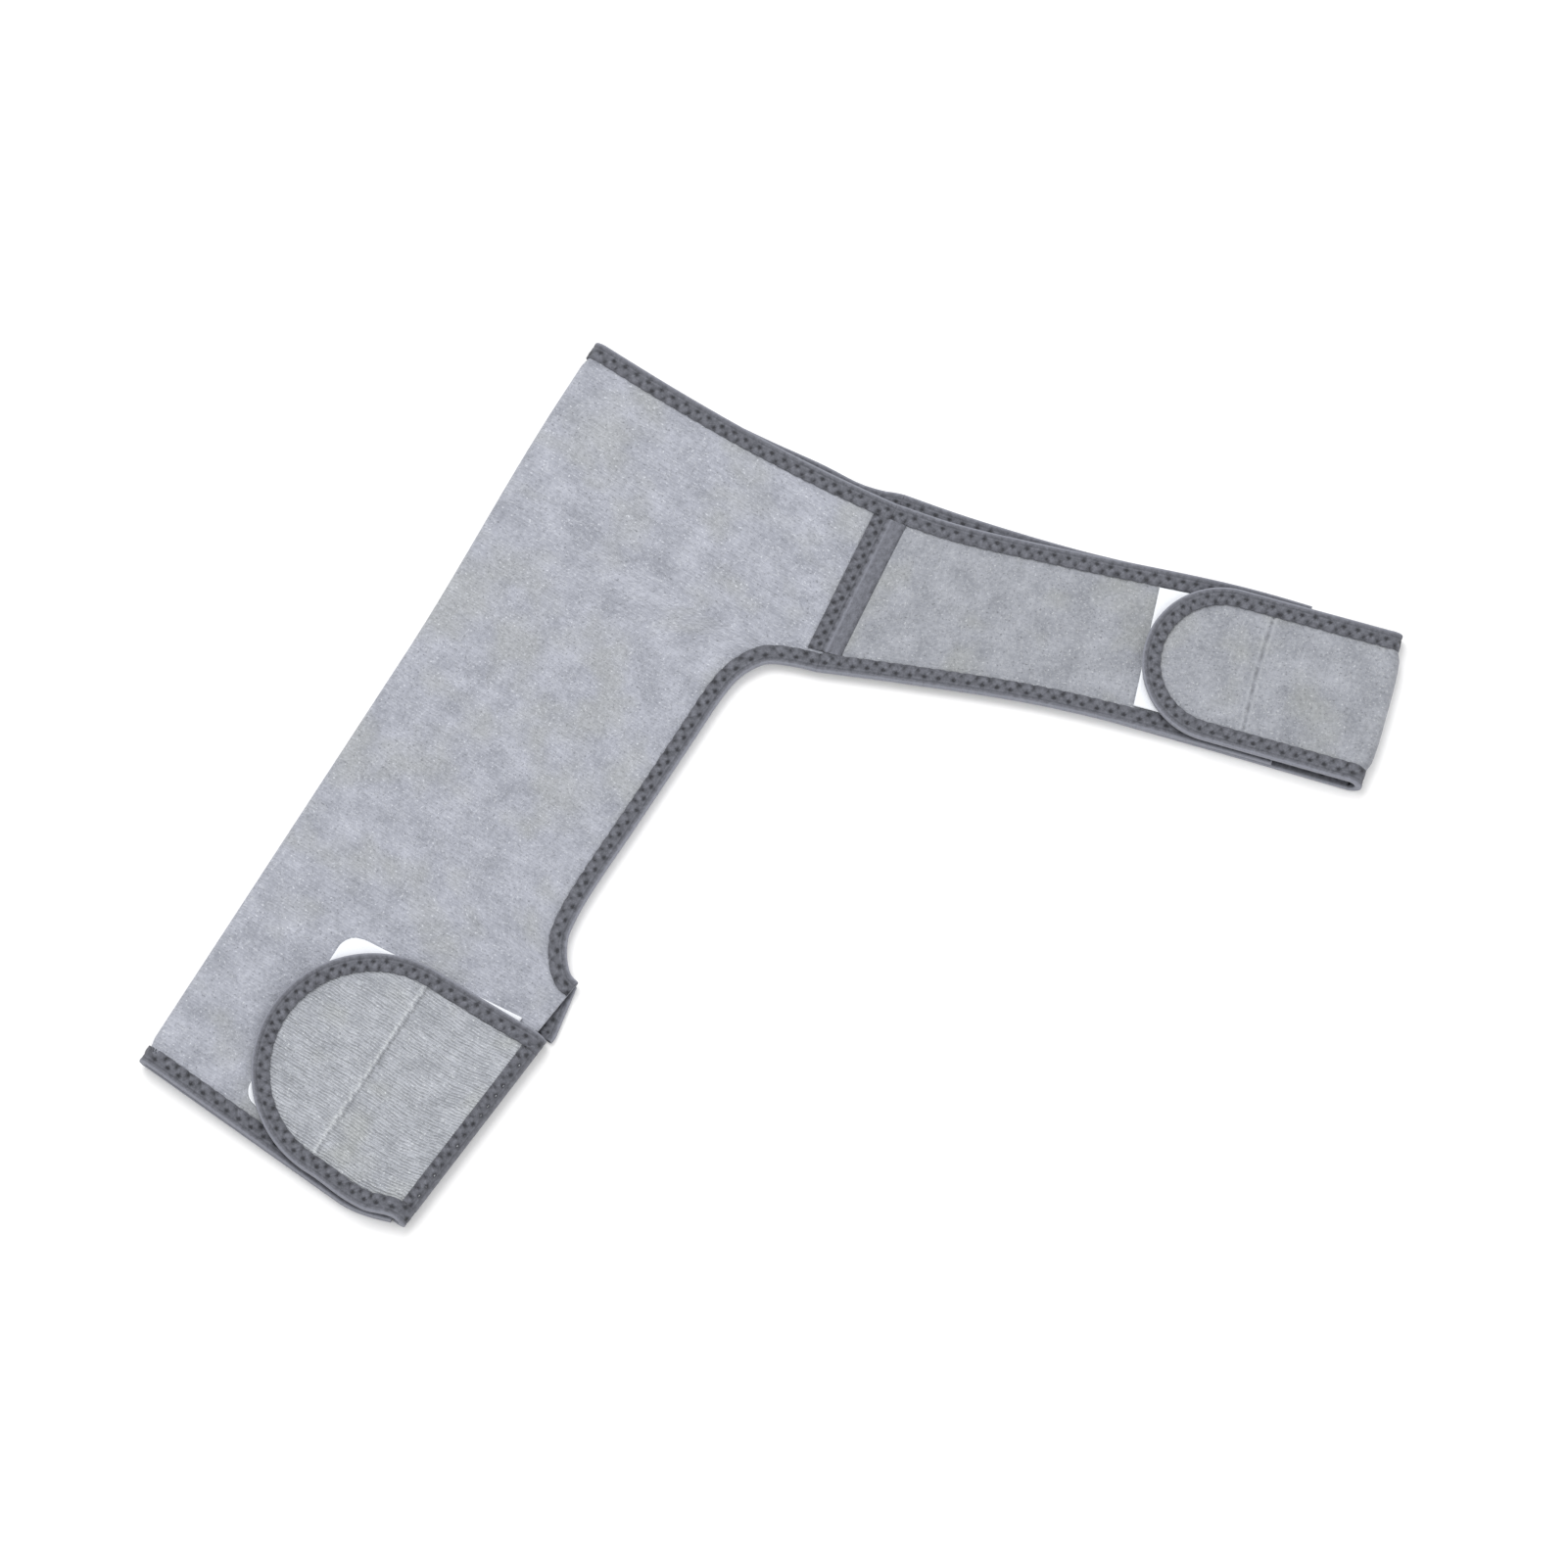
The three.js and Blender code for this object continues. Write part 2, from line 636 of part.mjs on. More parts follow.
// The white patch on the front strap, between its bindings
function strapPatchGeometry() {
  const shareAt = (step) => THREE.MathUtils.lerp(strapPatch.startShare, strap.frontShare, step);
  const stations = strapRun(frontEdges, [0, 0.35, 0.7].map(shareAt), onFront);
  const end = endStations(frontEdges, strap.frontShare, onFront)[1];
  return sheet(ribbonGrid([...stations, end], {
    edges: [boundReach, swellReach], above: patchMid, half: patchThickness / 2,
  }));
}

// A hook patch under the round end of a tab, inside its binding
function hookPatchGeometry(stations) {
  return sheet(ribbonGrid(stations, {
    edges: [hookInset, hookInset * 2], above: tabMid - hookMid, half: patchThickness / 2,
  }), { roundEnd: true });
}

// Colours and finishes
const knit = { color: 0xacb0b8, roughness: 0.95, metalness: 0 };
const darkTape = { color: 0x696c73, roughness: 0.85, metalness: 0 };
const white = { color: 0xe4e8ee, roughness: 0.9, metalness: 0 };

const brace = new THREE.Group();

function add(name, geometry, finish) {
  const mesh = new THREE.Mesh(geometry, new THREE.MeshStandardMaterial(finish));
  mesh.name = name;
  brace.add(mesh);
}

// Body and its bindings
const body = bodyGrid();
const rowInfo = bodyRows();
const joinRow = rowInfo.findIndex((row) => row.join);
const backStart = rowInfo.findIndex((row) => row.bindsBack);
const lastColumn = body[0].length - 1;
const backNeckCut = backEdges.across;
const frontNeckCut = frontEdges.across;
add('body_panel', sheet(body), knit);
add('neck_binding', binding(edgeFrames(body[body.length - 1], -1, {
  startCut: backNeckCut, endCut: frontNeckCut,
})), darkTape);
add('cuff_binding', binding(edgeFrames(body[0], 1, {
  startCut: cuffLine.clone().negate(), endCut: cuffLine.clone().negate(),
})), darkTape);
add('front_armpit_binding', binding(edgeFrames(body.slice(1, joinRow + 1).map((row) => row[lastColumn]), 1, {
  endCut: frontEdges.across.clone().negate(),
})), darkTape);
add('back_armpit_binding', binding(edgeFrames(body.slice(backStart, joinRow + 1).map((row) => row[0]), -1, {
  endCut: backEdges.across.clone().negate(),
})), darkTape);

// Chest strap
const frontGrid = ribbonGrid(frontStrapStations);
const backGrid = ribbonGrid([...backStrap.lower, ...backStrap.turns, ...backStrap.upper]);
add('front_strap', sheet(frontGrid), knit);
add('front_strap_binding', binding(edgeFrames(squareOutline(frontGrid), -1, {
  startCut: frontEdges.across, endCut: frontEdges.across.clone().negate(),
})), darkTape);
add('back_strap', sheet(backGrid, { roundEnd: true }), knit);
add('back_strap_binding', binding(edgeFrames(roundOutline(backGrid), -1, {
  startCut: backEdges.across, endCut: backEdges.across.clone().negate(),
})), darkTape);
add('front_join_band', joinBand(frontEdges, frontMid, 1), darkTape);
add('back_join_band', joinBand(backEdges, lowBoundMid, -1), darkTape);

// Cuff tab
const cuffGrid = ribbonGrid([cuffParts.start, ...cuffParts.turns, ...cuffParts.run, ...cuffParts.tip]);
add('cuff_tab', sheet(cuffGrid, { roundEnd: true }), knit);
add('cuff_tab_binding', binding(edgeFrames(roundOutline(cuffGrid), -1, {
  startCut: cuffLine, endCut: cuffLine.clone().negate(),
})), darkTape);
add('cuff_join_band', cuffBand(), darkTape);

// Patches
add('body_patch', bodyPatchGeometry(), white);
add('strap_patch', strapPatchGeometry(), white);
add('cuff_hook_patch', hookPatchGeometry([cuffParts.run[3], ...cuffParts.tip]), white);
add('strap_hook_patch', hookPatchGeometry(backStrap.upper.slice(1)), white);

// The origin lies under the middle of the whole brace
const whole = new THREE.Box3().setFromObject(brace);
const centre = whole.getCenter(new THREE.Vector3());
for (const mesh of brace.children) {
  mesh.position.set(-centre.x, -centre.y, -whole.min.z);
}

export default brace;
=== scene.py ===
import math
import bmesh
import bpy
import numpy as np
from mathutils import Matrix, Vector


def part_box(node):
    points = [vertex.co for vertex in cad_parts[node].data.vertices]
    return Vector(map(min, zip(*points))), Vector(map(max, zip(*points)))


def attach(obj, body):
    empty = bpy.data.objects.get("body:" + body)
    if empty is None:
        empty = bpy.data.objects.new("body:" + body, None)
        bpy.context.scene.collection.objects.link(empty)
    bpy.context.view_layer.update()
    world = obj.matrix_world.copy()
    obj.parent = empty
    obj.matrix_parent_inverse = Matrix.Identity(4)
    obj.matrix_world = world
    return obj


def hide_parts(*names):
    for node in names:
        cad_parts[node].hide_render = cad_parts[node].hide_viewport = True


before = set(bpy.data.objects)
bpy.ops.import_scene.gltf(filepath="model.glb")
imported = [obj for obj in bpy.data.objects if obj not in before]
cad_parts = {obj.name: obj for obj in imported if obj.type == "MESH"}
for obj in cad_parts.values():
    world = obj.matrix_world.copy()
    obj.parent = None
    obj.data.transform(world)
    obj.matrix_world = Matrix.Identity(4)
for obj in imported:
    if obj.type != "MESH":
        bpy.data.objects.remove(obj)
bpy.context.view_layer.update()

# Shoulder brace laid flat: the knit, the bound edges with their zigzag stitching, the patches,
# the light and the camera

MM = 0.001

# Cloth, tape and patches, in millimetres
FULL_HALF = 1.3
BOUND_HALF = 0.7
TAPE_WIDTH = 9.0
TAPE_PROUD = 1.0
TAPE_REACH = TAPE_WIDTH - TAPE_PROUD
TAPE_INNER = 1.0
TAPE_HALF = 1.7
GAP = 0.3
BOUND_REACH = 8.9
SWELL_REACH = 12.8
PATCH_THICK = 1.0
HOOK_INSET = 10.0
PITCH = 7.0
BAND_PITCH = 6.2
SEAM_GAP = 0.03
RIB = 1.45

# Heights of the middle surfaces
LOW_MID = 1.3
LOW_BOUND_MID = 1.7
FRONT_MID = 5.5
PATCH_MID = 2.1
HOOK_MID = 3.4
TAB_MID = 5.5
TAB_SHOWN = FRONT_MID + TAB_MID - 1

# Sleeve
FOLD_AT = 1.3
FOLD_LEAN = dict(by=4.9, start=235.0, reach=150.0)
SLEEVE = dict(length=418.0, width=140.0, loft=4.6)
CUFF_FALL = 9.3
CUFF_CORNER = dict(start=118.0, rise=7.5, fade=40.0)
NECK_SAG = dict(front=3.2, back=5.0, dip=2.4)
CORNER = np.array([157.7, 140.1])
NOTCH = np.array([161.4, 111.2])
NOTCH_RISE = 2.0
NOTCH_OVERLAP = np.array([0.3, 3.2])
FOLD_PAST_NOTCH = 21.0
# The armpit edge, as shares of the sleeve's width and length
ARMPIT = np.array([
    [1.089, 0.339], [1.04, 0.356], [1.009, 0.376], [0.996, 0.402], [0.992, 0.436], [0.999, 0.531],
    [1.006, 0.646], [1.011, 0.718], [1.022, 0.741], [1.046, 0.76], [1.083, 0.776], [1.171, 0.79],
]) * [SLEEVE["width"], SLEEVE["length"]]

# Chest strap: its sections' reach, rise, width, turn in degrees and the back half's lift
STRAP = dict(at=169.1, height=378.9, reach=243.2, width=78.0, front_end=0.86, bow=2.7, patch=0.632)
STRAP["widest"] = STRAP["width"] * 1.05
STRAP_SECTIONS = [
    (0, 0, 1.173, 6, 0.09),
    (0.144, 0.049, 1.058, 13, 0.083),
    (0.387, 0.138, 0.994, 20, 0.03),
    (0.712, 0.243, 1.03, 17, 0),
    (1, 0.317, 1.02, 15.6, 0),
]
CHEST_TAB = dict(length=74.0, radius=37.9, narrowing=-0.3, turn=math.radians(15.3))
CHEST_SEAM = np.array([(350, 469.7), (356.6, 443), (366, 413.4)])
CHEST_SEAM_PITCH = 2.9

# Cuff tab
CUFF_TAB = dict(at=144.5, lean=0.089, middle=52.0, tip=98.0, radius=56.4, seam_back=0.5, seam=97.5,
                seam_lean=0.02, seam_pitch=2.7, corner=3.0, sag=1.6)
BAND = dict(width=17.0, end_gap=SEAM_GAP, under=4.0, over=1.1, half=(TAPE_HALF - TAPE_INNER) / 2)
BODY_PATCH = dict(left=51.5, bottom=9.0, top=104.0, corner=9.0, lean=0.088)

# The plan's corner in the part's own frame
SHIFT = np.array([
    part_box("body_panel")[0].x / MM,
    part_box("body_patch")[0].y / MM - BODY_PATCH["bottom"],
    0.0,
])

rng = np.random.default_rng(7)


# Curves and small geometry helpers
def arc_length(points):
    return np.concatenate([[0], np.cumsum(np.linalg.norm(np.diff(points, axis=0), axis=1))])


def spaced(points, stations):
    """The polyline's points at the given distances along it."""
    along = arc_length(points)
    return np.stack([np.interp(stations, along, points[:, i]) for i in range(points.shape[1])], axis=1)


def unit(v):
    """The vectors at length one."""
    return v / np.maximum(np.linalg.norm(v, axis=-1, keepdims=True), 1e-9)


def smooth(x):
    x = np.clip(x, 0, 1)
    return x * x * (3 - 2 * x)


def bump(x, width):
    """1 at zero, falling away on both sides over the width."""
    return np.exp(-(x / width) ** 2)


def edge_spacing(length, near, far, reach):
    """Distances from 0 to length, close together within reach of both ends."""
    ends = np.arange(0, reach, near)
    middle = np.linspace(reach, length - reach, max(2, int((length - 2 * reach) / far)))
    return np.concatenate([ends, middle, length - ends[::-1]])


def distance_to(points, line):
    """Shortest distance from each plan point to a polyline."""
    flat = points.reshape(-1, 2)
    best = np.full(len(flat), 1e9)
    for a, b in zip(line[:-1], line[1:]):
        ab = b - a
        t = np.clip(((flat - a) @ ab) / max(ab @ ab, 1e-9), 0, 1)
        best = np.minimum(best, np.linalg.norm(flat - a - t[:, None] * ab, axis=1))
    return best.reshape(points.shape[:-1])


def bound_share(distance):
    """1 under the tape and 0 where the cloth has its full thickness."""
    return 1 - smooth((distance - TAPE_REACH - 0.3) / (SWELL_REACH - TAPE_REACH))


def half_thickness(distance):
    """Half the cloth's thickness at a distance from its edge."""
    return FULL_HALF + (BOUND_HALF - FULL_HALF) * bound_share(distance)


# Surfaces: each gives the height and the normal over plan points
def front_surface(plan, above=0.0):
    share = np.clip(plan[..., 0] / SLEEVE["width"], 0, 1)
    height = FRONT_MID + SLEEVE["loft"] * (1 + np.cos(np.pi * share)) / 2
    slope = -SLEEVE["loft"] * np.pi / SLEEVE["width"] / 2 * np.sin(np.pi * share)
    normal = unit(np.stack([-slope, np.zeros_like(slope), np.ones_like(slope)], axis=-1))
    return np.dstack([plan, height]) + normal * above, normal


def floor_surface(plan, weight):
    height = LOW_MID + (LOW_BOUND_MID - LOW_MID) * weight
    normal = np.zeros(plan.shape[:-1] + (3,))
    normal[..., 2] = 1
    return np.dstack([plan, height]), normal


def tab_surface(plan):
    at, normal = front_surface(plan, TAB_MID)
    return at, -normal


# Meshes
def to_metres(points):
    return (points.reshape(-1, 3) + SHIFT) * MM


def grid_faces(rows, columns, start=0, flip=False):
    """The four-sided faces of a grid of points numbered from start."""
    i, j = np.meshgrid(np.arange(rows - 1), np.arange(columns - 1), indexing="ij")
    a = (start + i * columns + j).ravel()
    quads = np.stack([a, a + 1, a + columns + 1, a + columns], axis=1)
    return quads[:, ::-1] if flip else quads


def make_mesh(name, points, faces, material, lay, painted_shading):
    """A mesh whose points carry the cloth's lay in millimetres and its painted shading, 0.5 being neutral.
    """
    mesh = bpy.data.meshes.new(name)
    mesh.from_pydata(to_metres(points).tolist(), [], faces)
    kept = mesh.attributes.new("lay", "FLOAT_VECTOR", "POINT")
    kept.data.foreach_set("vector", lay.reshape(-1).astype(np.float32))
    kept = mesh.attributes.new("painted_shading", "FLOAT", "POINT")
    kept.data.foreach_set("value", np.clip(painted_shading, 0, 1).reshape(-1).astype(np.float32))
    mesh.materials.append(material)
    mesh.shade_smooth()
    mesh.update()
    piece = bpy.data.objects.new(name, mesh)
    bpy.context.scene.collection.objects.link(piece)
    return piece


def weld(piece):
    """Merge points that coincide and turn the faces outward."""
    bm = bmesh.new()
    bm.from_mesh(piece.data)
    bmesh.ops.remove_doubles(bm, verts=bm.verts, dist=2e-6)
    bmesh.ops.dissolve_degenerate(bm, edges=bm.edges, dist=1e-7)
    bmesh.ops.recalc_face_normals(bm, faces=bm.faces)
    bm.to_mesh(piece.data)
    bm.free()
    piece.data.shade_smooth()


def sheet_piece(name, at, normal, half, material, lay, over=None, under=None, painted_shading=None):
    """A closed sheet of cloth. over is added to the normal's side and under to the other."""
    rows, columns = at.shape[:2]
    over = np.zeros((rows, columns)) if over is None else over
    under = np.zeros((rows, columns)) if under is None else under
    painted_shading = np.full((rows, columns), 0.5) if painted_shading is None else painted_shading
    upper = at + normal * (half + over)[..., None]
    lower = at - normal * (half + under)[..., None]
    for side in (upper, lower):
        side[..., 2] = np.maximum(side[..., 2], 0)
    count = rows * columns
    faces = [grid_faces(rows, columns), grid_faces(rows, columns, count, flip=True)]

    def wall(line):
        return np.stack([line[:-1], line[1:], line[1:] + count, line[:-1] + count], axis=1)

    index = np.arange(count).reshape(rows, columns)
    faces += [wall(index[:, 0]), wall(index[::-1, -1]), wall(index[0, ::-1]), wall(index[-1])]
    points = np.concatenate([upper, lower])
    faces = np.concatenate(faces).tolist()
    piece = make_mesh(name, points, faces, material, np.concatenate([lay] * 2), np.concatenate([painted_shading] * 2))
    weld(piece)
    return piece


# Materials
class Nodes:
    """A small builder for a material's nodes."""

    def __init__(self, name):
        self.material = bpy.data.materials.new(name)
        self.material.use_nodes = True
        self.tree = self.material.node_tree
        self.shader = self.tree.nodes["Principled BSDF"]

    def put(self, socket, value):
        """Link an output to a socket, or set the socket to a value."""
        if hasattr(value, "is_output"):
            self.tree.links.new(value, socket)
        else:
            socket.default_value = value

    def add(self, kind, **values):
        node = self.tree.nodes.new(kind)
        for key, value in values.items():
            if key in node.inputs:
                self.put(node.inputs[key], value)
            else:
                setattr(node, key, value)
        return node

    def attribute(self, name, output):
        return self.add("ShaderNodeAttribute", attribute_name=name).outputs[output]

    def math(self, operation, a, b=0.0):
        node = self.add("ShaderNodeMath", operation=operation)
        for socket, value in zip(node.inputs, (a, b)):
            self.put(socket, value)
        return node.outputs[0]

    def noise(self, vector, scale, detail=2.0, roughness=0.5, distortion=0.0):
        node = self.add("ShaderNodeTexNoise", Vector=vector, Scale=scale, Detail=detail,
                        Roughness=roughness, Distortion=distortion)
        return node.outputs["Fac"]

    def mapped(self, vector, **values):
        return self.add("ShaderNodeMapping", Vector=vector, **values).outputs["Vector"]

    def ramp(self, factor, stops):
        node = self.add("ShaderNodeValToRGB", Fac=factor)
        elements = node.color_ramp.elements
        while len(elements) < len(stops):
            elements.new(0.5)
        for element, (position, value) in zip(elements, stops):
            element.position = position
            element.color = (*value, 1) if isinstance(value, tuple) else (value, value, value, 1)
        return node.outputs["Color"]

    def blend(self, factor, a, b, mode="MIX"):
        node = self.add("ShaderNodeMix", data_type="RGBA", blend_type=mode)
        for socket, value in zip((node.inputs[0], node.inputs[6], node.inputs[7]), (factor, a, b)):
            self.put(socket, (*value, 1) if isinstance(value, tuple) else value)
        return node.outputs[2]

    def speckle(self, base, spots, stops, strength, colour):
        """The base with a colour over it where the spots' ramp is bright."""
        return self.blend(self.math("MULTIPLY", self.ramp(spots, stops), strength), base, colour)

    def finish(self, colour, height, distance, strength, roughness, sheen=0.0, sheen_roughness=0.5):
        relief = self.add("ShaderNodeBump", Distance=distance, Strength=strength, Height=height)
        self.put(self.shader.inputs["Normal"], relief.outputs["Normal"])
        self.put(self.shader.inputs["Base Color"], colour)
        self.shader.inputs["Roughness"].default_value = roughness
        self.shader.inputs["Sheen Weight"].default_value = sheen
        self.shader.inputs["Sheen Roughness"].default_value = sheen_roughness
        self.shader.inputs["Specular IOR Level"].default_value = 0.25
        return self.material


def knit_material(name, rib_strength, shade, wander=3.0):
    """Brushed grey melange knit. Its ribs run along lay, with painted shade in the rib valleys, and the
    shading attribute paints shade into a seam's groove and a highlight onto its ridge.
    """
    n = Nodes(name)
    lay = n.attribute("lay", "Vector")
    painted_shading = n.attribute("painted_shading", "Fac")
    tint = n.noise(n.mapped(lay, Location=(40, 90, 7)), 0.035, 2.0, 0.5)
    mottle = n.noise(lay, 0.07, 4.0, 0.6)
    grain = n.noise(lay, 0.5, 3.0, 0.6)
    fleck = n.noise(n.mapped(lay, Location=(11, 17, 5)), 0.95, 2.0, 0.5)
    base = n.ramp(mottle, [(0.32, (0.255, 0.266, 0.306)), (0.68, (0.385, 0.398, 0.452))])
    base = n.blend(n.ramp(tint, [(0.5, 0.0), (0.66, 0.6)]), base, (0.32, 0.33, 0.33))
    for spots, stops, strength, colour in (
        (grain, [(0.5, 0.0), (0.7, 1.0)], 0.34, (0.5, 0.52, 0.57)),
        (grain, [(0.3, 1.0), (0.5, 0.0)], 0.34, (0.19, 0.2, 0.225)),
        (fleck, [(0.64, 0.0), (0.72, 1.0)], 0.5, (0.72, 0.74, 0.78)),
        (fleck, [(0.3, 1.0), (0.37, 0.0)], 0.6, (0.12, 0.125, 0.14)),
    ):
        base = n.speckle(base, spots, stops, strength, colour)
    strand_height = None
    for angle, seed in ((20, 3), (75, 11), (140, 23)):
        turned = n.mapped(n.mapped(lay, Location=(seed, 5 * seed, seed)), vector_type="TEXTURE",
                          Rotation=(0, 0, math.radians(angle)), Scale=(1 / 0.22, 1, 1))
        strand = n.ramp(n.noise(turned, 0.8, 2.0, 0.6), [(0.6, 0.0), (0.7, 1.0)])
        base = n.blend(n.math("MULTIPLY", strand, 0.17), base, (0.62, 0.64, 0.68))
        strand_height = strand if strand_height is None else n.math("ADD", strand_height, strand)
    # A wave texture of scale 1 repeats every pi / 10
    wave = n.add("ShaderNodeTexWave", Vector=lay, wave_type="BANDS", bands_direction="Y", wave_profile="SIN",
                 Scale=math.pi / 10 / RIB, Distortion=wander, **{"Detail": 2.0, "Detail Scale": 0.5})
    broken = n.noise(n.mapped(lay, Scale=(0.12, 0.6, 1.0)), 1.0, 2.0, 0.6)
    broken = n.ramp(broken, [(0.38, 0.15), (0.6, 1.0)])
    rib = wave.outputs["Fac"]
    # Painted shade in the rib valleys, broken up at random
    line = n.math("MULTIPLY", n.ramp(rib, [(0.0, 1.0), (0.7, 0.0)]), broken)
    base = n.blend(n.math("MULTIPLY", line, rib_strength), base, (0.15, 0.157, 0.175))
    # Painted shade in seam grooves and painted highlight on seam ridges, from the shading attribute
    base = n.blend(n.ramp(painted_shading, [(0.0, 0.9), (0.5, 0.0)]), base, (0.13, 0.135, 0.15))
    base = n.blend(n.ramp(painted_shading, [(0.5, 0.0), (1.0, 0.8)]), base, (0.62, 0.64, 0.68))
    base = n.blend(1.0, base, shade, "MULTIPLY")
    height = n.math("ADD", n.math("MULTIPLY", rib, rib_strength * 1.6), n.math("MULTIPLY", grain, 1.5))
    height = n.math("ADD", height, n.math("MULTIPLY", strand_height, 0.35))
    return n.finish(base, height, 0.0004, 0.9, 0.95, 0.12, 0.6)


def tape_material(name, tint):
    """Dark woven tape. The shading attribute is 0 where painted shade fills a needle hole and 1 where a
    painted highlight lies on a raised stitch or the folded rim.
    """
    n = Nodes(name)
    lay = n.attribute("lay", "Vector")
    painted_shading = n.attribute("painted_shading", "Fac")
    mottle = n.noise(lay, 0.4, 3.0, 0.65)
    fibre = n.noise(n.mapped(lay, Scale=(0.8, 1.4, 1.0)), 1.5, 3.0, 0.7)

    def shade(amount):
        return tuple(amount * c for c in tint)

    base = n.ramp(mottle, [(0.32, shade(0.68)), (0.68, shade(1.3))])
    # Painted shade where the shading attribute is low, painted highlight where it is high
    base = n.blend(n.ramp(painted_shading, [(0.0, 1.0), (0.46, 0.0)]), base, shade(0.22))
    base = n.blend(n.ramp(painted_shading, [(0.54, 0.0), (1.0, 1.0)]), base, shade(2.3))
    base = n.speckle(base, fibre, [(0.55, 0.0), (0.72, 1.0)], 0.4, shade(2.0))
    base = n.speckle(base, fibre, [(0.3, 1.0), (0.45, 0.0)], 0.4, shade(0.45))
    return n.finish(base, fibre, 0.0004, 0.8, 0.85, 0.1, 0.5)


def patch_material(name, colour):
    """White loop or hook tape: a fine fuzz of short fibres."""
    n = Nodes(name)
    lay = n.attribute("lay", "Vector")
    fuzz = n.noise(lay, 2.2, 4.0, 0.7, 0.4)
    base = n.ramp(fuzz, [(0.3, tuple(0.88 * c for c in colour)), (0.7, colour)])
    return n.finish(base, fuzz, 0.0003, 0.6, 0.95, 0.2, 0.5)


TAPE_TINT = (0.118, 0.122, 0.142)
KNIT = knit_material("knit_body", 0.2, (0.96, 0.96, 0.96))
KNIT_STRAP = knit_material("knit_strap", 0.06, (0.81, 0.81, 0.79))
KNIT_CUFF = knit_material("knit_cuff", 0.7, (1.12, 1.125, 1.08), 5.0)
TAPE = tape_material("tape", TAPE_TINT)
LOOP = patch_material("loop", (0.8, 0.82, 0.86))
HOOK = patch_material("hook", (0.72, 0.75, 0.8))


# Plan lines that the pieces share
def centripetal(points, share):
    """A centripetal curve through the points, the share running evenly over its spans."""
    p = np.array(points, float)
    p = np.vstack([2 * p[0] - p[1], p, 2 * p[-1] - p[-2]])
    spans = len(p) - 3
    x = np.clip(np.atleast_1d(share), 0, 1) * spans
    k = np.minimum(x.astype(int), spans - 1)
    f = (x - k)[:, None]
    a, b, c, d = (p[k + i] for i in range(4))
    ab, bc, cd = (np.linalg.norm(v, axis=1, keepdims=True) ** 0.5 for v in (b - a, c - b, d - c))
    leave = ((b - a) / ab - (c - a) / (ab + bc) + (c - b) / bc) * bc
    arrive = ((c - b) / bc - (d - b) / (bc + cd) + (d - c) / cd) * bc
    return (b * (2 * f ** 3 - 3 * f ** 2 + 1) + leave * (f ** 3 - 2 * f ** 2 + f)
            + c * (3 * f ** 2 - 2 * f ** 3) + arrive * (f ** 3 - f ** 2))


def cuff_fold_at(y):
    """How far out the cuff tab's fold line lies at a height."""
    return CUFF_TAB["at"] + CUFF_TAB["lean"] * y


CUFF_LINE = unit(np.array([CUFF_TAB["lean"], 1.0]))
CUFF_AHEAD = np.array([CUFF_LINE[1], -CUFF_LINE[0]])


class StrapEdges:
    """Left and right edges of one half of the chest strap and its join line to the body."""

    def __init__(self, lift_share):
        share = np.linspace(0, 1, 481)
        sides = []
        for hand in (1, -1):
            points = []
            for out, rise, width, turn, lift in STRAP_SECTIONS:
                half = hand * width * STRAP["width"] / 2
                angle = math.radians(turn)
                points.append((
                    STRAP["at"] + out * STRAP["reach"] - math.sin(angle) * half,
                    STRAP["height"] + rise * STRAP["reach"] + lift * STRAP["width"] * lift_share
                    + math.cos(angle) * half,
                ))
            sides.append(centripetal(points, share))
        self.share = share
        self.left, self.right = sides
        self.across = unit(self.left[0] - self.right[0])
        self.along = np.array([self.across[1], -self.across[0]])
        self.upper = self.left[0] - SEAM_GAP * self.along
        self.lower = self.right[0] - SEAM_GAP * self.along

    def ends(self, share):
        """Left and right edge points at a share of the way along."""
        return [np.stack([np.interp(share, self.share, line[:, i]) for i in range(2)], axis=-1)
                for line in (self.left, self.right)]


FRONT_EDGES = StrapEdges(0)
BACK_EDGES = StrapEdges(1)


def side_line(edges, seam, stops, start_shift, end_shift):
    """The open side of one half of the body, and the arc lengths where its stretches begin."""
    bottom = np.array([cuff_fold_at(-CUFF_FALL) - seam - GAP, -CUFF_FALL])
    seam_top = np.array([cuff_fold_at(stops[0]) - seam - GAP, stops[0]])
    share = ((np.arange(len(ARMPIT)) + 1) / (len(ARMPIT) + 1))[:, None] ** 6
    armpit = ARMPIT + start_shift * (1 - share) + end_shift * share
    curve = centripetal(np.vstack([stops[-1], armpit, edges.lower]), np.linspace(0, 1, 400))
    stretches = [np.array([bottom, seam_top]), np.vstack([seam_top, *stops[1:]]), curve,
                 np.array([edges.lower, edges.upper])]
    line = np.vstack([stretches[0]] + [part[1:] for part in stretches[1:]])
    return line, np.cumsum([0] + [arc_length(part)[-1] for part in stretches])


# The open sides of the two halves, and the heights at which their rows change pace.
# Points lie closer together within NEAR_EDGE of an edge
NEAR_EDGE = 14
NOTCH_POINT = NOTCH + [0, NOTCH_RISE]
BACK_CORNER = CORNER - [2 * GAP, 5 * GAP]
SIDE_TOP = NOTCH[1] * 0.96
UNMOVED = np.zeros(2)
FRONT_SIDE, FRONT_MARKS = side_line(FRONT_EDGES, 0.0, [SIDE_TOP, CORNER], UNMOVED, UNMOVED)
BACK_SIDE, BACK_MARKS = side_line(BACK_EDGES, CUFF_TAB["seam_back"], [NOTCH[1], NOTCH_POINT, BACK_CORNER],
                                  np.array([-2 * GAP, 0]), BACK_EDGES.lower - FRONT_EDGES.lower)
ARMPIT_END = FRONT_EDGES.lower[1] - SWELL_REACH
CORNER_FOLD = NOTCH[1] + FOLD_PAST_NOTCH


def fold_rows():
    """Heights along the fold at which the body's rows leave it."""
    rows = edge_spacing(SLEEVE["length"], 0.85, 2.3, NEAR_EDGE)
    for mark in (SIDE_TOP, CORNER_FOLD, ARMPIT_END):
        rows[np.argmin(np.abs(rows - mark))] = mark
    return rows


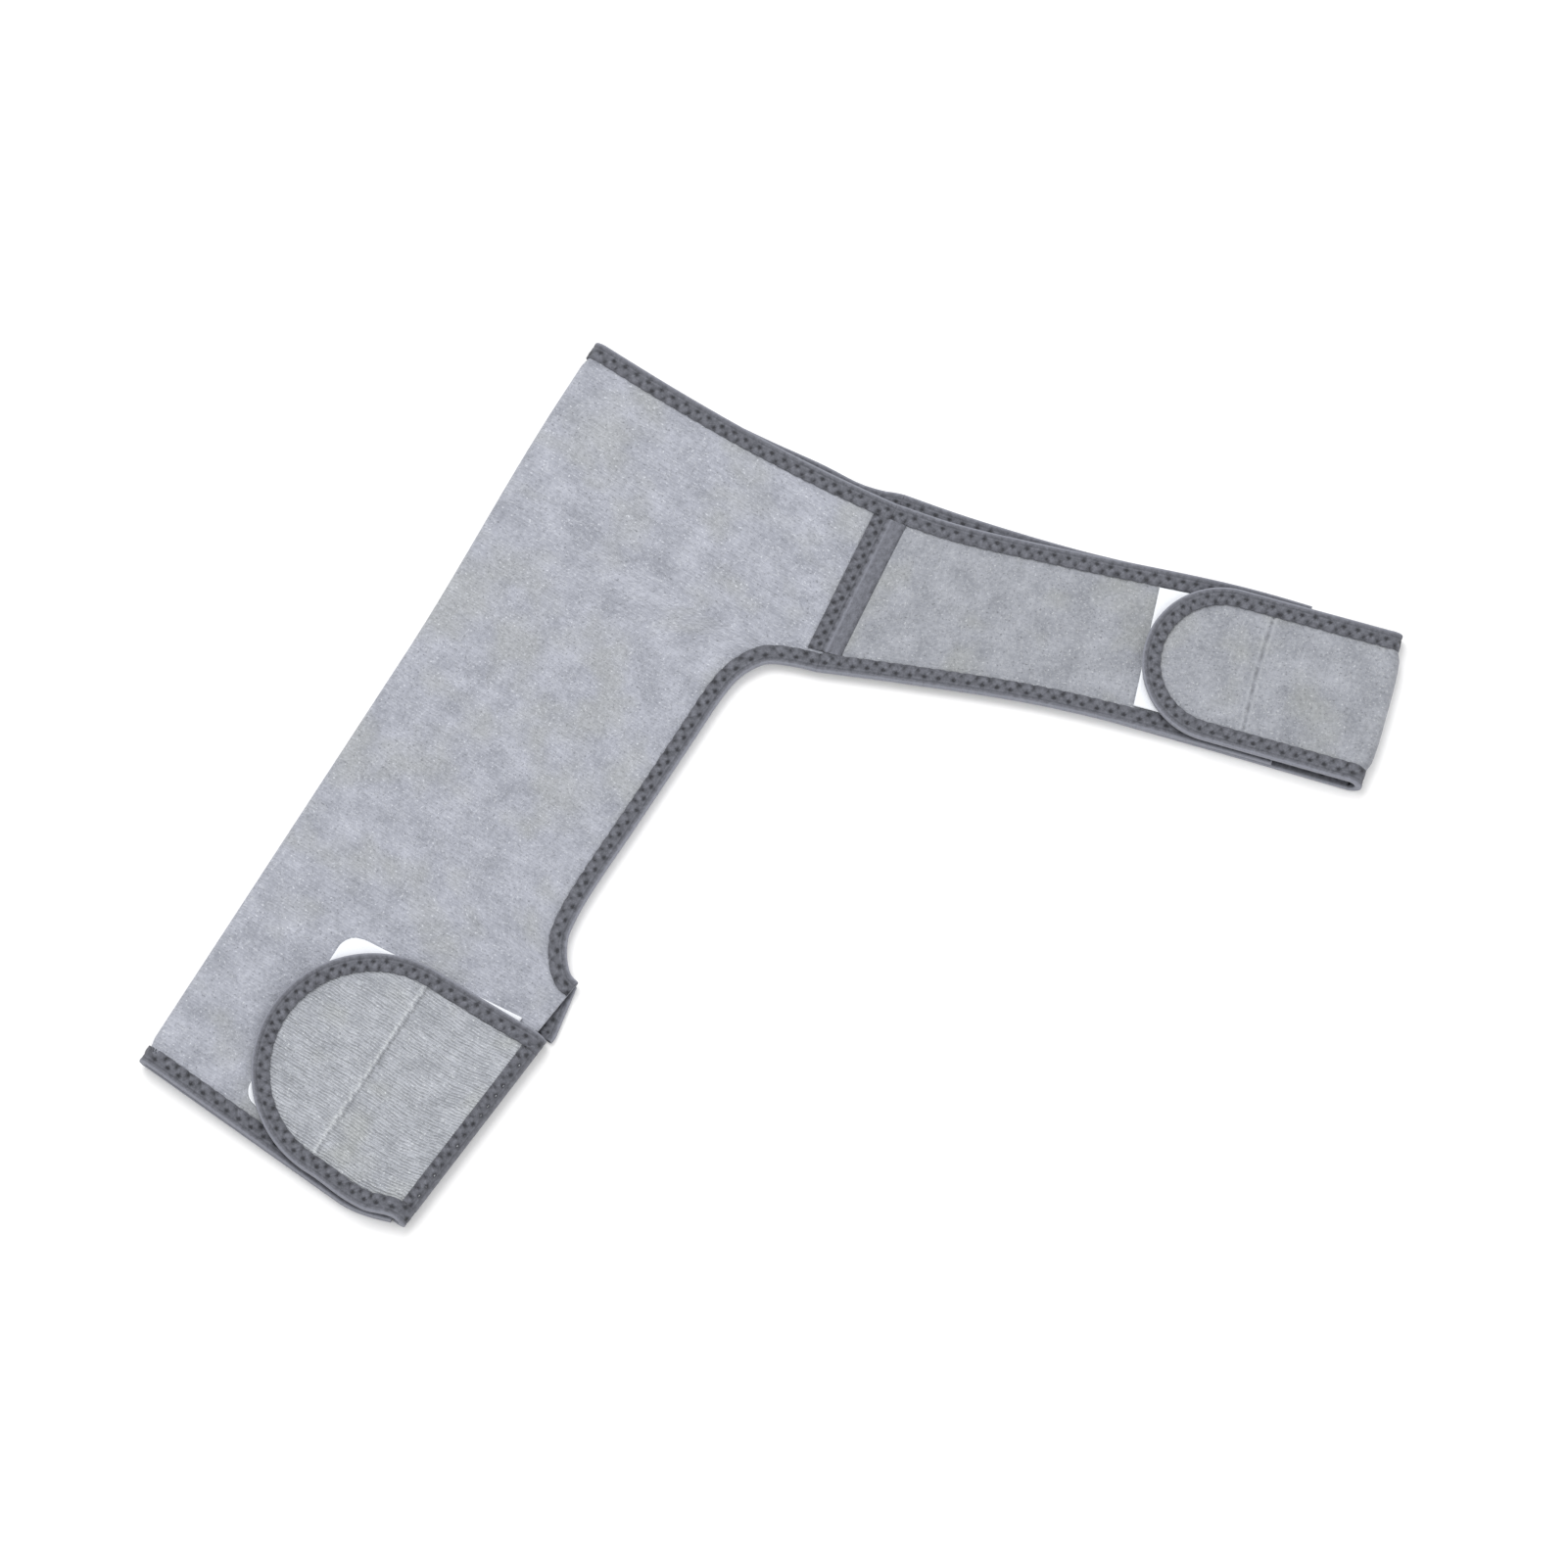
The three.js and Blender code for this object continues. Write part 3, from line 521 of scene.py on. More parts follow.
def neck_sag(sag, dip, share, height):
    """How far the neck edge dips between the fold and the strap, and just before the strap."""
    weight = smooth((height - ARMPIT_END) / (SLEEVE["length"] - ARMPIT_END)) ** 2
    near_strap = bump(share - 0.88, 0.1) * np.clip((1 - share) / 0.05, 0, 1)
    return (sag * 4 * share * (1 - share) + dip * near_strap) * weight


def cuff_corner_rise(x, height):
    """How far the cuff edge turns up towards the tab's lower corner."""
    share = np.clip((x - CUFF_CORNER["start"]) / (CUFF_TAB["at"] - CUFF_CORNER["start"]), 0, 1)
    return CUFF_CORNER["rise"] * share ** 1.6 * (1 - smooth(height / CUFF_CORNER["fade"]))


def half_rows(line, marks, side_top, sag, dip, near, far):
    """Plan points of one half of the body, a row for each height, from the open side to the fold."""
    heights = fold_rows()
    along = np.interp(heights, [0, side_top, CORNER_FOLD, ARMPIT_END, SLEEVE["length"]], marks)
    ends = spaced(line, along)
    radius = (FRONT_MID + SLEEVE["loft"] - LOW_MID) / 2
    lean = FOLD_LEAN["by"] * smooth((heights - FOLD_LEAN["start"]) / FOLD_LEAN["reach"])
    folds = np.stack([FOLD_AT + radius - lean, heights], axis=1)
    length = np.linalg.norm(ends - folds, axis=1)
    near_part = np.arange(0, NEAR_EDGE, near)
    far_part = np.linspace(0, 1, far)
    inward = np.concatenate([
        np.broadcast_to(near_part, (len(heights), len(near_part))),
        NEAR_EDGE + (length[:, None] - NEAR_EDGE) * far_part,
    ], axis=1)
    plan = ends[:, None] + (folds - ends)[:, None] * (inward / length[:, None])[..., None]
    share = np.clip((plan[..., 0] - folds[:, :1]) / (ends[:, :1] - folds[:, :1]), 0, 1)
    plan[..., 1] -= neck_sag(sag, dip, share, heights[:, None])
    plan[..., 1] += cuff_corner_rise(plan[..., 0], heights[:, None])
    return plan


def edge_of_half(plan):
    """The half's outline without its fold: cuff edge, open side and neck edge."""
    return np.vstack([plan[0, ::-1], plan[:, 0], plan[-1]])


FRONT_PLAN = half_rows(FRONT_SIDE, FRONT_MARKS, SIDE_TOP, NECK_SAG["front"], 0, 0.85, 50)
BACK_PLAN = half_rows(BACK_SIDE, BACK_MARKS, NOTCH[1], NECK_SAG["back"], NECK_SAG["dip"], 1.4, 30)


def body_grid():
    """Middle points, normals, half thicknesses and lay of the body, from its back half to its front."""
    side = FRONT_PLAN[:, 0]
    bound_side = side[side[:, 1] > CORNER[1] - 1]
    front_distance = np.minimum(distance_to(FRONT_PLAN, FRONT_PLAN[0, ::2]),
                                distance_to(FRONT_PLAN, np.vstack([bound_side[::2], FRONT_PLAN[-1]])))
    bare = np.clip(distance_to(FRONT_PLAN, side[::2]) / (2 * BOUND_HALF), 0, 1)
    roundness = 0.35 + 0.65 * np.sqrt(1 - (1 - bare) ** 2)
    back_distance = distance_to(BACK_PLAN, edge_of_half(BACK_PLAN)[::2])
    front_at, front_normal = front_surface(FRONT_PLAN)
    weight = bound_share(back_distance)
    back_at, back_normal = floor_surface(BACK_PLAN, weight)

    heights = fold_rows()
    hem = bound_share(np.minimum(heights, SLEEVE["length"] - heights))
    low = LOW_MID + (LOW_BOUND_MID - LOW_MID) * hem
    top = FRONT_MID + SLEEVE["loft"]
    radius = (top - low) / 2
    angle = np.linspace(-math.pi / 2, math.pi / 2, 19)[1:-1]
    radial = np.stack([-np.cos(angle), np.zeros_like(angle), np.sin(angle)], axis=1)
    middle_x = FRONT_PLAN[:, -1, 0]
    base = np.stack([middle_x, heights, low + radius], axis=1)
    fold_at = base[:, None] + radial * radius[:, None, None]
    fold_normal = np.broadcast_to(radial, fold_at.shape)
    fold_half = np.broadcast_to((FULL_HALF + (BOUND_HALF - FULL_HALF) * hem)[:, None], fold_at.shape[:2])

    at = np.concatenate([back_at, fold_at, front_at[:, ::-1]], axis=1)
    normal = np.concatenate([-back_normal, fold_normal, front_normal[:, ::-1]], axis=1)
    front_half = half_thickness(front_distance) * roundness
    half = np.concatenate([half_thickness(back_distance), fold_half, front_half[:, ::-1]], axis=1)
    across = arc_length(at[len(at) // 2])
    lay = np.stack([np.broadcast_to(across, at.shape[:2]), at[..., 1], np.zeros(at.shape[:2])], axis=-1)
    return at, normal, half, lay


# Ribbons
class Ribbon:
    """A strap or a tab as rows across, each with its edge points and the rule that places it."""

    def __init__(self, near=0.9, far=2.3):
        self.left, self.right, self.place = [], [], []
        self.near, self.far = near, far

    def row(self, left, right, place):
        self.left.append(left)
        self.right.append(right)
        self.place.append(place)

    def grid(self, widest, tip=None, square_end=False):
        """Middle points, normals, half thicknesses and lay, with columns close together near both edges."""
        left, right = np.array(self.left), np.array(self.right)
        spacing = edge_spacing(widest, self.near, self.far, NEAR_EDGE) / widest
        plan = left[:, None] + (right - left)[:, None] * spacing[:, None]
        flat_width = np.linalg.norm(left - right, axis=1)
        edge_distance = np.minimum(spacing, 1 - spacing) * flat_width[:, None]
        if tip is not None:
            middle, rows = tip
            edge_distance[rows:] = flat_width[rows] / 2 - np.linalg.norm(plan[rows:] - middle, axis=-1)
        if square_end:
            edge_distance = np.minimum(edge_distance, np.linalg.norm(plan - plan[-1], axis=-1))
        edge_distance = np.maximum(edge_distance, 0)
        weight = bound_share(edge_distance)
        at = np.empty(plan.shape[:2] + (3,))
        normal = np.empty_like(at)
        for k, place in enumerate(self.place):
            at[k], normal[k] = place(plan[k], weight[k], spacing)
        along = arc_length(at[:, len(spacing) // 2])
        lay = np.stack([np.broadcast_to(along[:, None], plan.shape[:2]),
                        (spacing - 0.5) * flat_width[:, None], np.zeros(plan.shape[:2])], axis=-1)
        return at, normal, half_thickness(edge_distance), lay


def resting_on(surface):
    """The rule that lays a row on a surface."""
    def place(plan, weight, spacing):
        at, normal = surface(plan[None], weight[None])
        return at[0], normal[0]
    return place


on_floor = resting_on(floor_surface)
on_front = resting_on(lambda plan, weight: front_surface(plan))
at_tab = resting_on(lambda plan, weight: tab_surface(plan))


def turning(angle, ahead, bow=0.0, half=1.0):
    """A row of the turn about a fold line, from the floor up to the tab's height."""
    def place(plan, weight, spacing):
        low = LOW_MID + (LOW_BOUND_MID - LOW_MID) * weight
        radius = (FRONT_MID + TAB_MID - low) / 2
        radial = math.cos(angle) * np.append(ahead, 0) + math.sin(angle) * np.array([0, 0, 1.0])
        outward = np.abs(spacing - 0.5) * 2
        push = bow * np.maximum(0, 1 - (outward * half / (half - BOUND_REACH * 0.5)) ** 4)
        at = np.column_stack([plan + push[:, None] * ahead, low + radius]) + radial * radius[:, None]
        return at, np.broadcast_to(-radial, at.shape)
    return place


TURN_ANGLES = np.linspace(-math.pi / 2, math.pi / 2, 21)


def round_tip(ribbon, middle, ahead, left, radius, place):
    """Rows of a round end: straight across at first and a point at last."""
    for angle in np.linspace(0, math.pi / 2, 70)[1:]:
        at = middle + ahead * radius * math.sin(angle)
        reach = left * radius * math.cos(angle)
        ribbon.row(at + reach, at - reach, place)


def strap_ribbon(edges, shares, place):
    """A straight run of one half of the chest strap."""
    ribbon = Ribbon()
    for share in shares:
        ribbon.row(*edges.ends(share), place)
    return ribbon


CHEST_AHEAD = np.array([math.cos(CHEST_TAB["turn"]), math.sin(CHEST_TAB["turn"])])
CHEST_LEFT = np.array([-CHEST_AHEAD[1], CHEST_AHEAD[0]])


def back_strap_ribbon():
    """The back half of the strap, its turn at the end and the tab that lies on the front half."""
    ribbon = strap_ribbon(BACK_EDGES, np.linspace(0, 1, 130), on_floor)
    fold_left, fold_right = BACK_EDGES.left[-1], BACK_EDGES.right[-1]
    middle = (fold_left + fold_right) / 2
    start_half = np.linalg.norm(fold_left - fold_right) / 2
    tab_half = CHEST_TAB["radius"] - CHEST_TAB["narrowing"]
    for k, angle in enumerate(TURN_ANGLES):
        share = k / (len(TURN_ANGLES) - 1)
        half = start_half + (tab_half - start_half) * share
        across = unit(unit(fold_left - fold_right) * (1 - share) + CHEST_LEFT * share)
        forward = np.array([across[1], -across[0]])
        ribbon.row(middle + across * half, middle - across * half,
                   turning(angle, forward, STRAP["bow"], half))
    tip_middle = middle - CHEST_AHEAD * CHEST_TAB["length"]
    for share in np.linspace(0, 1, 110)[1:]:
        at = middle + (tip_middle - middle) * share
        half = tab_half + CHEST_TAB["narrowing"] * share
        ribbon.row(at + CHEST_LEFT * half, at - CHEST_LEFT * half, at_tab)
    rows = len(ribbon.left) - 1
    round_tip(ribbon, tip_middle, -CHEST_AHEAD, CHEST_LEFT, CHEST_TAB["radius"], at_tab)
    return ribbon, (tip_middle, rows)


# Ways ahead and to the left of the cuff tab's round end
TAB_WAYS = np.array([-1.0, 0.0]), np.array([0.0, 1.0])


def cuff_fold_line(shift, bottom=CUFF_TAB["middle"] - CUFF_TAB["radius"] + CUFF_TAB["corner"],
                   top=CUFF_TAB["middle"] + CUFF_TAB["radius"]):
    """Upper and lower end of a line along the cuff tab's fold."""
    return np.array([cuff_fold_at(top) + shift, top]), np.array([cuff_fold_at(bottom) + shift, bottom])


def cuff_tab_ribbon():
    """The cuff tab from its seam, round its fold and out to its round tip."""
    ribbon = Ribbon(0.7, 0.72)
    ribbon.row(*cuff_fold_line(-CUFF_TAB["seam_back"]), on_floor)
    for angle in TURN_ANGLES:
        ribbon.row(*cuff_fold_line(0), turning(angle, CUFF_AHEAD))
    fold_top, fold_bottom = cuff_fold_line(0)
    middle = np.array([CUFF_TAB["tip"], CUFF_TAB["middle"]])
    tip_top, tip_bottom = middle + [0, CUFF_TAB["radius"]], middle - [0, CUFF_TAB["radius"]]
    for share in np.linspace(0, 1, 75)[1:]:
        corner = CUFF_TAB["corner"] * (share - smooth(3 * share))
        sag = CUFF_TAB["sag"] * math.sin(math.pi * share) ** 2
        ribbon.row(fold_top + (tip_top - fold_top) * share,
                   fold_bottom + (tip_bottom - fold_bottom) * share + [0, corner - sag], at_tab)
    rows = len(ribbon.left) - 1
    round_tip(ribbon, middle, *TAB_WAYS, CUFF_TAB["radius"], at_tab)
    return ribbon, (middle, rows)


# Tape folded round an edge, with its needle holes and zigzag thread
STITCHES = 61

# Each stitch's shift along and across the tape, and the strength of its lump and its dip
STITCH_VARIES = np.column_stack([rng.normal(0, 0.4, STITCHES), rng.normal(0, 0.3, STITCHES),
                                 rng.uniform(0.4, 1.15, STITCHES), rng.uniform(0.5, 1.15, STITCHES)])


def stitch_field(along, reach, pitch):
    """Relief in millimetres and painted shading of the stitched tape; reach runs from 0 at its inner edge.
    """
    turn = along / pitch
    varies = STITCH_VARIES[np.floor(turn).astype(int) % STITCHES]
    off = (turn - np.floor(turn) - 0.5) * pitch + varies[..., 0]
    beside = np.abs(off) - pitch / 2
    row = 4.6 + varies[..., 1]
    hole = bump(off, 1.1) * bump(reach - row, 1.1)
    lump = bump(off + 0.6, 1.5) * bump(reach - 2.4, 1.3) * varies[..., 2]
    dip = bump(beside, 1.5) * bump(reach - 1.4, 1.5) * varies[..., 3]
    slant = row - (row - 0.4) * np.abs(off) / (pitch / 2)
    thread = bump(reach - slant, 0.55) * (reach < 5)
    crease = bump(reach - 6.6, 0.5)
    relief = -0.55 * hole + 0.22 * lump - 0.35 * dip + 0.18 * thread - 0.25 * crease
    # Painted shade in the needle holes and dips, painted highlights on the lumps and the thread
    painted_shading = 0.5 - 0.7 * hole - 0.55 * dip + 0.2 * lump * (1 - hole) + 0.22 * thread
    # Darker inner half, painted shade in the crease and a painted highlight towards the rim
    return relief, painted_shading - 0.12 * (reach < 5.4) - 0.22 * crease + 0.08 * smooth((reach - 6.8) / 1.2)


# Half of the tape's section: points across a face, then reach and height round the rim
FACE_REACH = np.array([0.0, 0.6, 1.3, 2.1, 2.9, 3.6, 4.3, 5.0, 5.7, 6.5, 7.3, 8.0, 8.5])
RIM = [(8.85, 1.5), (9.0, 1.0), (9.0, 0.0), (9.0, -1.0), (8.85, -1.5)]
SHARP_TURN = 0.2
STATION_STEP = 0.55


def tape_section():
    """Reach and height round the section of a folded tape, and which face each point lies on."""
    upper = [(r, TAPE_HALF, 1) for r in FACE_REACH]
    rim = [(r, h, 0) for r, h in RIM]
    lower = [(r, -TAPE_HALF, -1) for r in FACE_REACH[::-1]]
    inside = [(0.0, -TAPE_INNER, 0), (TAPE_REACH + GAP, -TAPE_INNER, 0), (TAPE_REACH + GAP, TAPE_INNER, 0),
              (0.0, TAPE_INNER, 0)]
    return np.array(upper + rim + lower + inside)


def edge_stations(at):
    """Distances along an edge that keep its sharp corners, and where those corners lie."""
    along = arc_length(at)
    way = unit(np.diff(at, axis=0))
    turn = np.arccos(np.clip(np.sum(way[:-1] * way[1:], axis=1), -1, 1))
    sharp = np.flatnonzero(turn > SHARP_TURN) + 1
    stops = np.concatenate([[0], along[sharp], [along[-1]]])
    stations = []
    for start, end in zip(stops[:-1], stops[1:]):
        steps = max(2, round((end - start) / STATION_STEP))
        stations.append(np.linspace(start, end, steps + 1)[:-1])
    return np.concatenate(stations + [along[-1:]]), along, list(zip(along[sharp], turn[sharp - 1]))


def edge_frames(at, normal, hand, start_cut, end_cut):
    """Directions away from the cloth along an edge, mitred between its stretches."""
    way = unit(np.diff(at, axis=0))
    way = np.vstack([way[:1], way, way[-1:]])
    before = unit(np.cross(way[:-1], normal)) * hand
    after = unit(np.cross(way[1:], normal)) * hand
    out = (before + after) / (1 + np.sum(before * after, axis=1, keepdims=True))
    for k, cut in ((0, start_cut), (-1, end_cut)):
        cut = np.append(cut, 0)
        out[k] = cut / (cut @ before[k])
    return out


def binding_piece(name, at, normal, hand, start_cut, end_cut):
    """Folded tape round a cloth's edge, given by its points and the cloth's normals there."""
    stations, along, corners = edge_stations(at)
    at_edge = spaced(at, stations)
    edge_normal = unit(np.stack([np.interp(stations, along, normal[:, i]) for i in range(3)], axis=1))
    out = edge_frames(at_edge, edge_normal, hand, start_cut, end_cut)
    section = tape_section()
    length = stations[-1]
    pitch = length / max(1, round(length / PITCH))
    s, r = np.meshgrid(stations, section[:, 0], indexing="ij")
    relief, painted_shading = stitch_field(s, r, pitch)
    on_face = np.abs(section[:, 2])
    height = section[:, 1] + np.sign(section[:, 2]) * relief * on_face
    painted_shading = np.where(on_face > 0, painted_shading, 0.5)
    # Painted highlight on the tape's folded rim
    painted_shading = painted_shading + 0.35 * smooth((r - 7.6) / 1.4)
    scallop = 0.25 * np.cos(2 * np.pi * s / pitch) * np.clip(1 - r / 1.5, 0, 1)
    reach = r + scallop - TAPE_REACH
    # Near a sharp corner the tape's inner edge ends on the mitre
    limit = np.full(len(stations), TAPE_REACH)
    for place, turn in corners:
        away = np.abs(stations - place)
        limit = np.where(away > 1e-6, np.minimum(limit, np.maximum(away / math.tan(turn / 2), 0.02)), limit)
    convex = np.minimum(limit, TAPE_REACH)
    reach = np.maximum(reach, -convex[:, None])
    points = at_edge[:, None] + out[:, None] * reach[..., None] + edge_normal[:, None] * height[..., None]
    points[..., 2] = np.maximum(points[..., 2], 0.0)
    rows, sides = s.shape
    ring = np.concatenate([points, points[:, :1]], axis=1)
    faces = grid_faces(rows, sides + 1)
    faces = np.where(faces % (sides + 1) == sides, faces - sides, faces)
    last = (rows - 1) * (sides + 1)
    caps = [list(range(sides)), list(range(last, last + sides))]
    lay = np.stack([s, r, np.zeros_like(s)], axis=-1)
    lay = np.concatenate([lay, lay[:, :1]], axis=1)
    painted_shading = np.concatenate([painted_shading, painted_shading[:, :1]], axis=1)
    piece = make_mesh(name, ring, faces.tolist() + caps, TAPE, lay, painted_shading)
    weld(piece)


# Seams across the two tabs, on the side that shows
def cuff_seam(at):
    """A pressed ridge beside a groove, with the cloth left of it lifted over the hook patch. The groove gets
    painted shade and the ridge a painted highlight.
    """
    up = at[..., 1]
    x = at[..., 0] - CUFF_TAB["seam"] - CUFF_TAB["seam_lean"] * (up - CUFF_TAB["middle"])
    x = x + 0.5 * np.sin(up * 0.31) * np.sin(up * 1.13)
    shown = at[..., 2] > TAB_SHOWN
    stitch = 0.7 + 0.3 * np.cos(2 * np.pi * up / CUFF_TAB["seam_pitch"])
    ridge = bump(x + 0.8, 0.8) * stitch
    groove = bump(x - 0.7, 0.7) * stitch
    lift = 0.4 * (1 - smooth((x + 1) / 2)) * smooth((x + 30) / 25)
    return shown * (lift + 0.35 * ridge - 0.5 * groove), 0.5 + shown * (0.42 * ridge - 0.42 * groove)


def chest_seam(at):
    """A stitched groove where the hook patch's end is sewn on, with painted shade in the groove and a faint
    painted highlight on its rim.
    """
    distance = distance_to(at[..., :2], CHEST_SEAM)
    shown = at[..., 2] > TAB_SHOWN
    stitch = 0.55 + 0.45 * np.cos(2 * np.pi * at[..., 1] / CHEST_SEAM_PITCH)
    groove = bump(distance, 0.75) * stitch
    rim = bump(distance - 1.6, 0.7)
    return shown * (0.15 * rim - 0.4 * groove), 0.5 + shown * (0.12 * rim - 0.42 * groove)


# The body, its bindings and the straps
body_at, body_normal, body_half, body_lay = body_grid()
sheet_piece("body_cloth", body_at, body_normal, body_half, KNIT, body_lay)

front_ribbon = strap_ribbon(FRONT_EDGES, np.linspace(0, STRAP["front_end"], 150), on_front)
front_at, front_normal, front_half, front_lay = front_ribbon.grid(STRAP["widest"], square_end=True)
sheet_piece("front_strap_cloth", front_at, front_normal, front_half, KNIT_STRAP, front_lay)

back_ribbon, back_tip = back_strap_ribbon()
back_at, back_normal, back_half, back_lay = back_ribbon.grid(STRAP["widest"], tip=back_tip)
back_under, back_painted_shading = chest_seam(back_at)
sheet_piece("back_strap_cloth", back_at, back_normal, back_half, KNIT_STRAP, back_lay,
            under=back_under, painted_shading=back_painted_shading)

cuff_ribbon, cuff_tip = cuff_tab_ribbon()
cuff_at, cuff_normal, cuff_half, cuff_lay = cuff_ribbon.grid(CUFF_TAB["radius"] * 2, tip=cuff_tip)
cuff_under, cuff_painted_shading = cuff_seam(cuff_at)
sheet_piece("cuff_tab_cloth", cuff_at, cuff_normal, cuff_half, KNIT_CUFF, cuff_lay,
            under=cuff_under, painted_shading=cuff_painted_shading)


def open_side(line, marks, from_mark, first_point):
    """The part of a half's open side that is bound, from its first point to the join."""
    along = arc_length(line)
    kept = line[(along > from_mark) & (along <= marks[3] + 1e-6)]
    return np.vstack([first_point, kept])


front_open = open_side(FRONT_SIDE, FRONT_MARKS, FRONT_MARKS[2] + 0.01, [CORNER])
back_open = open_side(BACK_SIDE, BACK_MARKS, BACK_MARKS[1] + 0.01, [NOTCH_POINT - NOTCH_OVERLAP])
front_open_at, front_open_normal = front_surface(front_open[None])
back_open_at, back_open_normal = floor_surface(back_open[None], np.ones((1, len(back_open))))

side_way = unit(np.array([cuff_fold_at(SIDE_TOP), SIDE_TOP]) - CORNER)

binding_piece("neck_tape", body_at[-1], body_normal[-1], -1,
              BACK_EDGES.across, FRONT_EDGES.across)
binding_piece("cuff_tape", body_at[0], body_normal[0], 1, -CUFF_LINE, -CUFF_LINE)
binding_piece("front_armpit_tape", front_open_at[0], front_open_normal[0], 1,
              side_way, -FRONT_EDGES.across)
binding_piece("back_armpit_tape", back_open_at[0], -back_open_normal[0], -1,
              np.array([1.0, 0.0]), -BACK_EDGES.across)


def ribbon_tape(name, at, normal, round_end, across):
    """Tape out along a ribbon's left edge, over its end and back along its right edge."""
    rows, columns = at.shape[:2]
    out = [(k, 0) for k in range(rows - 1)]
    over = [(rows - 1, 0)] if round_end else [(rows - 1, j) for j in range(columns)]
    home = [(k, columns - 1) for k in range(rows - 2, -1, -1)]
    outline = tuple(np.array(out + over + home).T)
    binding_piece(name, at[outline], normal[outline], -1, across, -across)


ribbon_tape("front_strap_tape", front_at, front_normal, False, FRONT_EDGES.across)
ribbon_tape("back_strap_tape", back_at, back_normal, True, BACK_EDGES.across)
ribbon_tape("cuff_tab_tape", cuff_at, cuff_normal, True, CUFF_LINE)


# Bands of tape over the joins
def strip_piece(name, corners, place, half, columns):
    """A flat stitched strip between two plan corners at its start and two at its end."""
    (a, b), (c, d) = corners
    length = np.linalg.norm((c + d) / 2 - (a + b) / 2)
    u = np.linspace(0, 1, max(2, int(length / STATION_STEP)))
    v = np.linspace(0, 1, columns)
    start = a + (b - a) * v[:, None]
    end = c + (d - c) * v[:, None]
    plan = start[None] + (end - start)[None] * u[:, None, None]
    at, normal = place(plan)
    width = np.linalg.norm(b - a)
    s, r = np.meshgrid(u * length, v * width, indexing="ij")
    relief, painted_shading = join_band_field(s, r)
    lay = np.stack([s, r, np.zeros_like(s)], axis=-1)
    half = np.full(s.shape, half)
    sheet_piece(name, at, normal, half, TAPE, lay, over=relief, painted_shading=painted_shading)


def join_band_field(s, r):
    """Stitching of a join band: two rows on the body's side, plain tape on the strap's side. The second
    row's holes get painted shade, the ridge a painted highlight, and the tape darkens towards its strap-side
    edge.
    """
    relief, painted_shading = stitch_field(s, r * 0.95, BAND_PITCH)
    cell = (s / BAND_PITCH + 0.5) % 1.0 - 0.5
    second = bump(cell * BAND_PITCH, 0.8) * bump(r - 7.6, 0.8)
    ridge = bump(r - 9.3, 0.6)
    relief = relief - 0.3 * second + 0.2 * ridge - 0.25 * smooth((r - 15.2) / 1.5)
    return relief, painted_shading - 0.35 * second + 0.16 * ridge - 0.22 * smooth((r - 14.6) / 2)


def join_band(name, edges, height, hand):
    """The band over the seam between one half of the strap and the body."""
    reach = TAPE_REACH + BAND["end_gap"]
    half = BAND["half"]
    sides = []
    for shift in (-BAND["width"] / 2, BAND["width"] / 2):
        ends = []
        for line, way in ((edges.left, -1), (edges.right, 1)):
            if shift > 0:
                point = spaced(line, np.array([shift]))[0]
            else:
                point = line[0] + edges.along * shift
            ends.append(point + edges.across * reach * way)
        sides.append(ends)

    def place(plan):
        at = np.dstack([plan, np.full(plan.shape[:2], height + hand * (TAPE_INNER + half))])
        return at, np.broadcast_to([0, 0, float(hand)], at.shape)

    strip_piece(name, zip(*sides), place, half, 34)


join_band("front_join_tape", FRONT_EDGES, FRONT_MID, 1)
join_band("back_join_tape", BACK_EDGES, LOW_BOUND_MID, -1)


def cuff_band():
    """The band over the cuff tab's seam, round the fold and a little over the tab."""
    end = CUFF_TAB["radius"] - TAPE_REACH - SEAM_GAP
    half = BAND["half"]
    ends = CUFF_TAB["middle"] - end + CUFF_TAB["corner"], CUFF_TAB["middle"] + end
    rows = [(cuff_fold_line(-CUFF_TAB["seam_back"] - BAND["under"], *ends), on_floor)]
    rows += [(cuff_fold_line(0, *ends), turning(angle, CUFF_AHEAD)) for angle in TURN_ANGLES]
    rows += [(cuff_fold_line(-BAND["over"], *ends), at_tab)]
    steps = np.linspace(0, 1, int(2 * end / STATION_STEP))
    at = np.empty((len(rows), len(steps), 3))
    normal = np.empty_like(at)
    for k, ((left, right), place) in enumerate(rows):
        plan = left + (right - left) * steps[:, None]
        at[k], normal[k] = place(plan, np.ones(len(steps)), np.full(len(steps), 0.5))
    at = at - normal * (TAPE_INNER + half)
    across = arc_length(at[:, len(steps) // 2])
    r, s = np.meshgrid(across, steps * 2 * end, indexing="ij")
    relief, painted_shading = stitch_field(s, across[-1] - r, BAND_PITCH)
    lay = np.stack([s, r, np.zeros_like(s)], axis=-1)
    sheet_piece("cuff_join_tape", at, normal, np.full(r.shape, half), TAPE, lay, under=relief, painted_shading=painted_shading)


cuff_band()


# White patches
def patch_sheet(name, plan, height, material):
    """A patch over plan points, its middle at a height above the front half."""
    at, normal = front_surface(plan, height)
    half = np.full(plan.shape[:2], PATCH_THICK / 2)
    lay = np.dstack([plan, np.zeros(plan.shape[:2])])
    sheet_piece(name, at, normal, half, material, lay)


def body_patch():
    """The loop patch on the body's front half: rounded at its left and straight along the cuff tab."""
    left, bottom, top, corner = (BODY_PATCH[key] for key in ("left", "bottom", "top", "corner"))
    height = np.linspace(bottom, top, 90)
    end = np.minimum(height - bottom, top - height)
    cut = corner - np.sqrt(np.maximum(corner ** 2 - np.maximum(corner - end, 0) ** 2, 0))
    right = cuff_fold_at(height) - GAP - BOUND_REACH
    share = np.linspace(0, 1, 70)
    x = (left + cut)[:, None] + (right - left - cut)[:, None] * share
    stretch = 1 + BODY_PATCH["lean"] * (x - left) / (top - bottom)
    plan = np.dstack([x, bottom + (height[:, None] - bottom) * stretch])
    patch_sheet("body_loop", plan, PATCH_MID, LOOP)


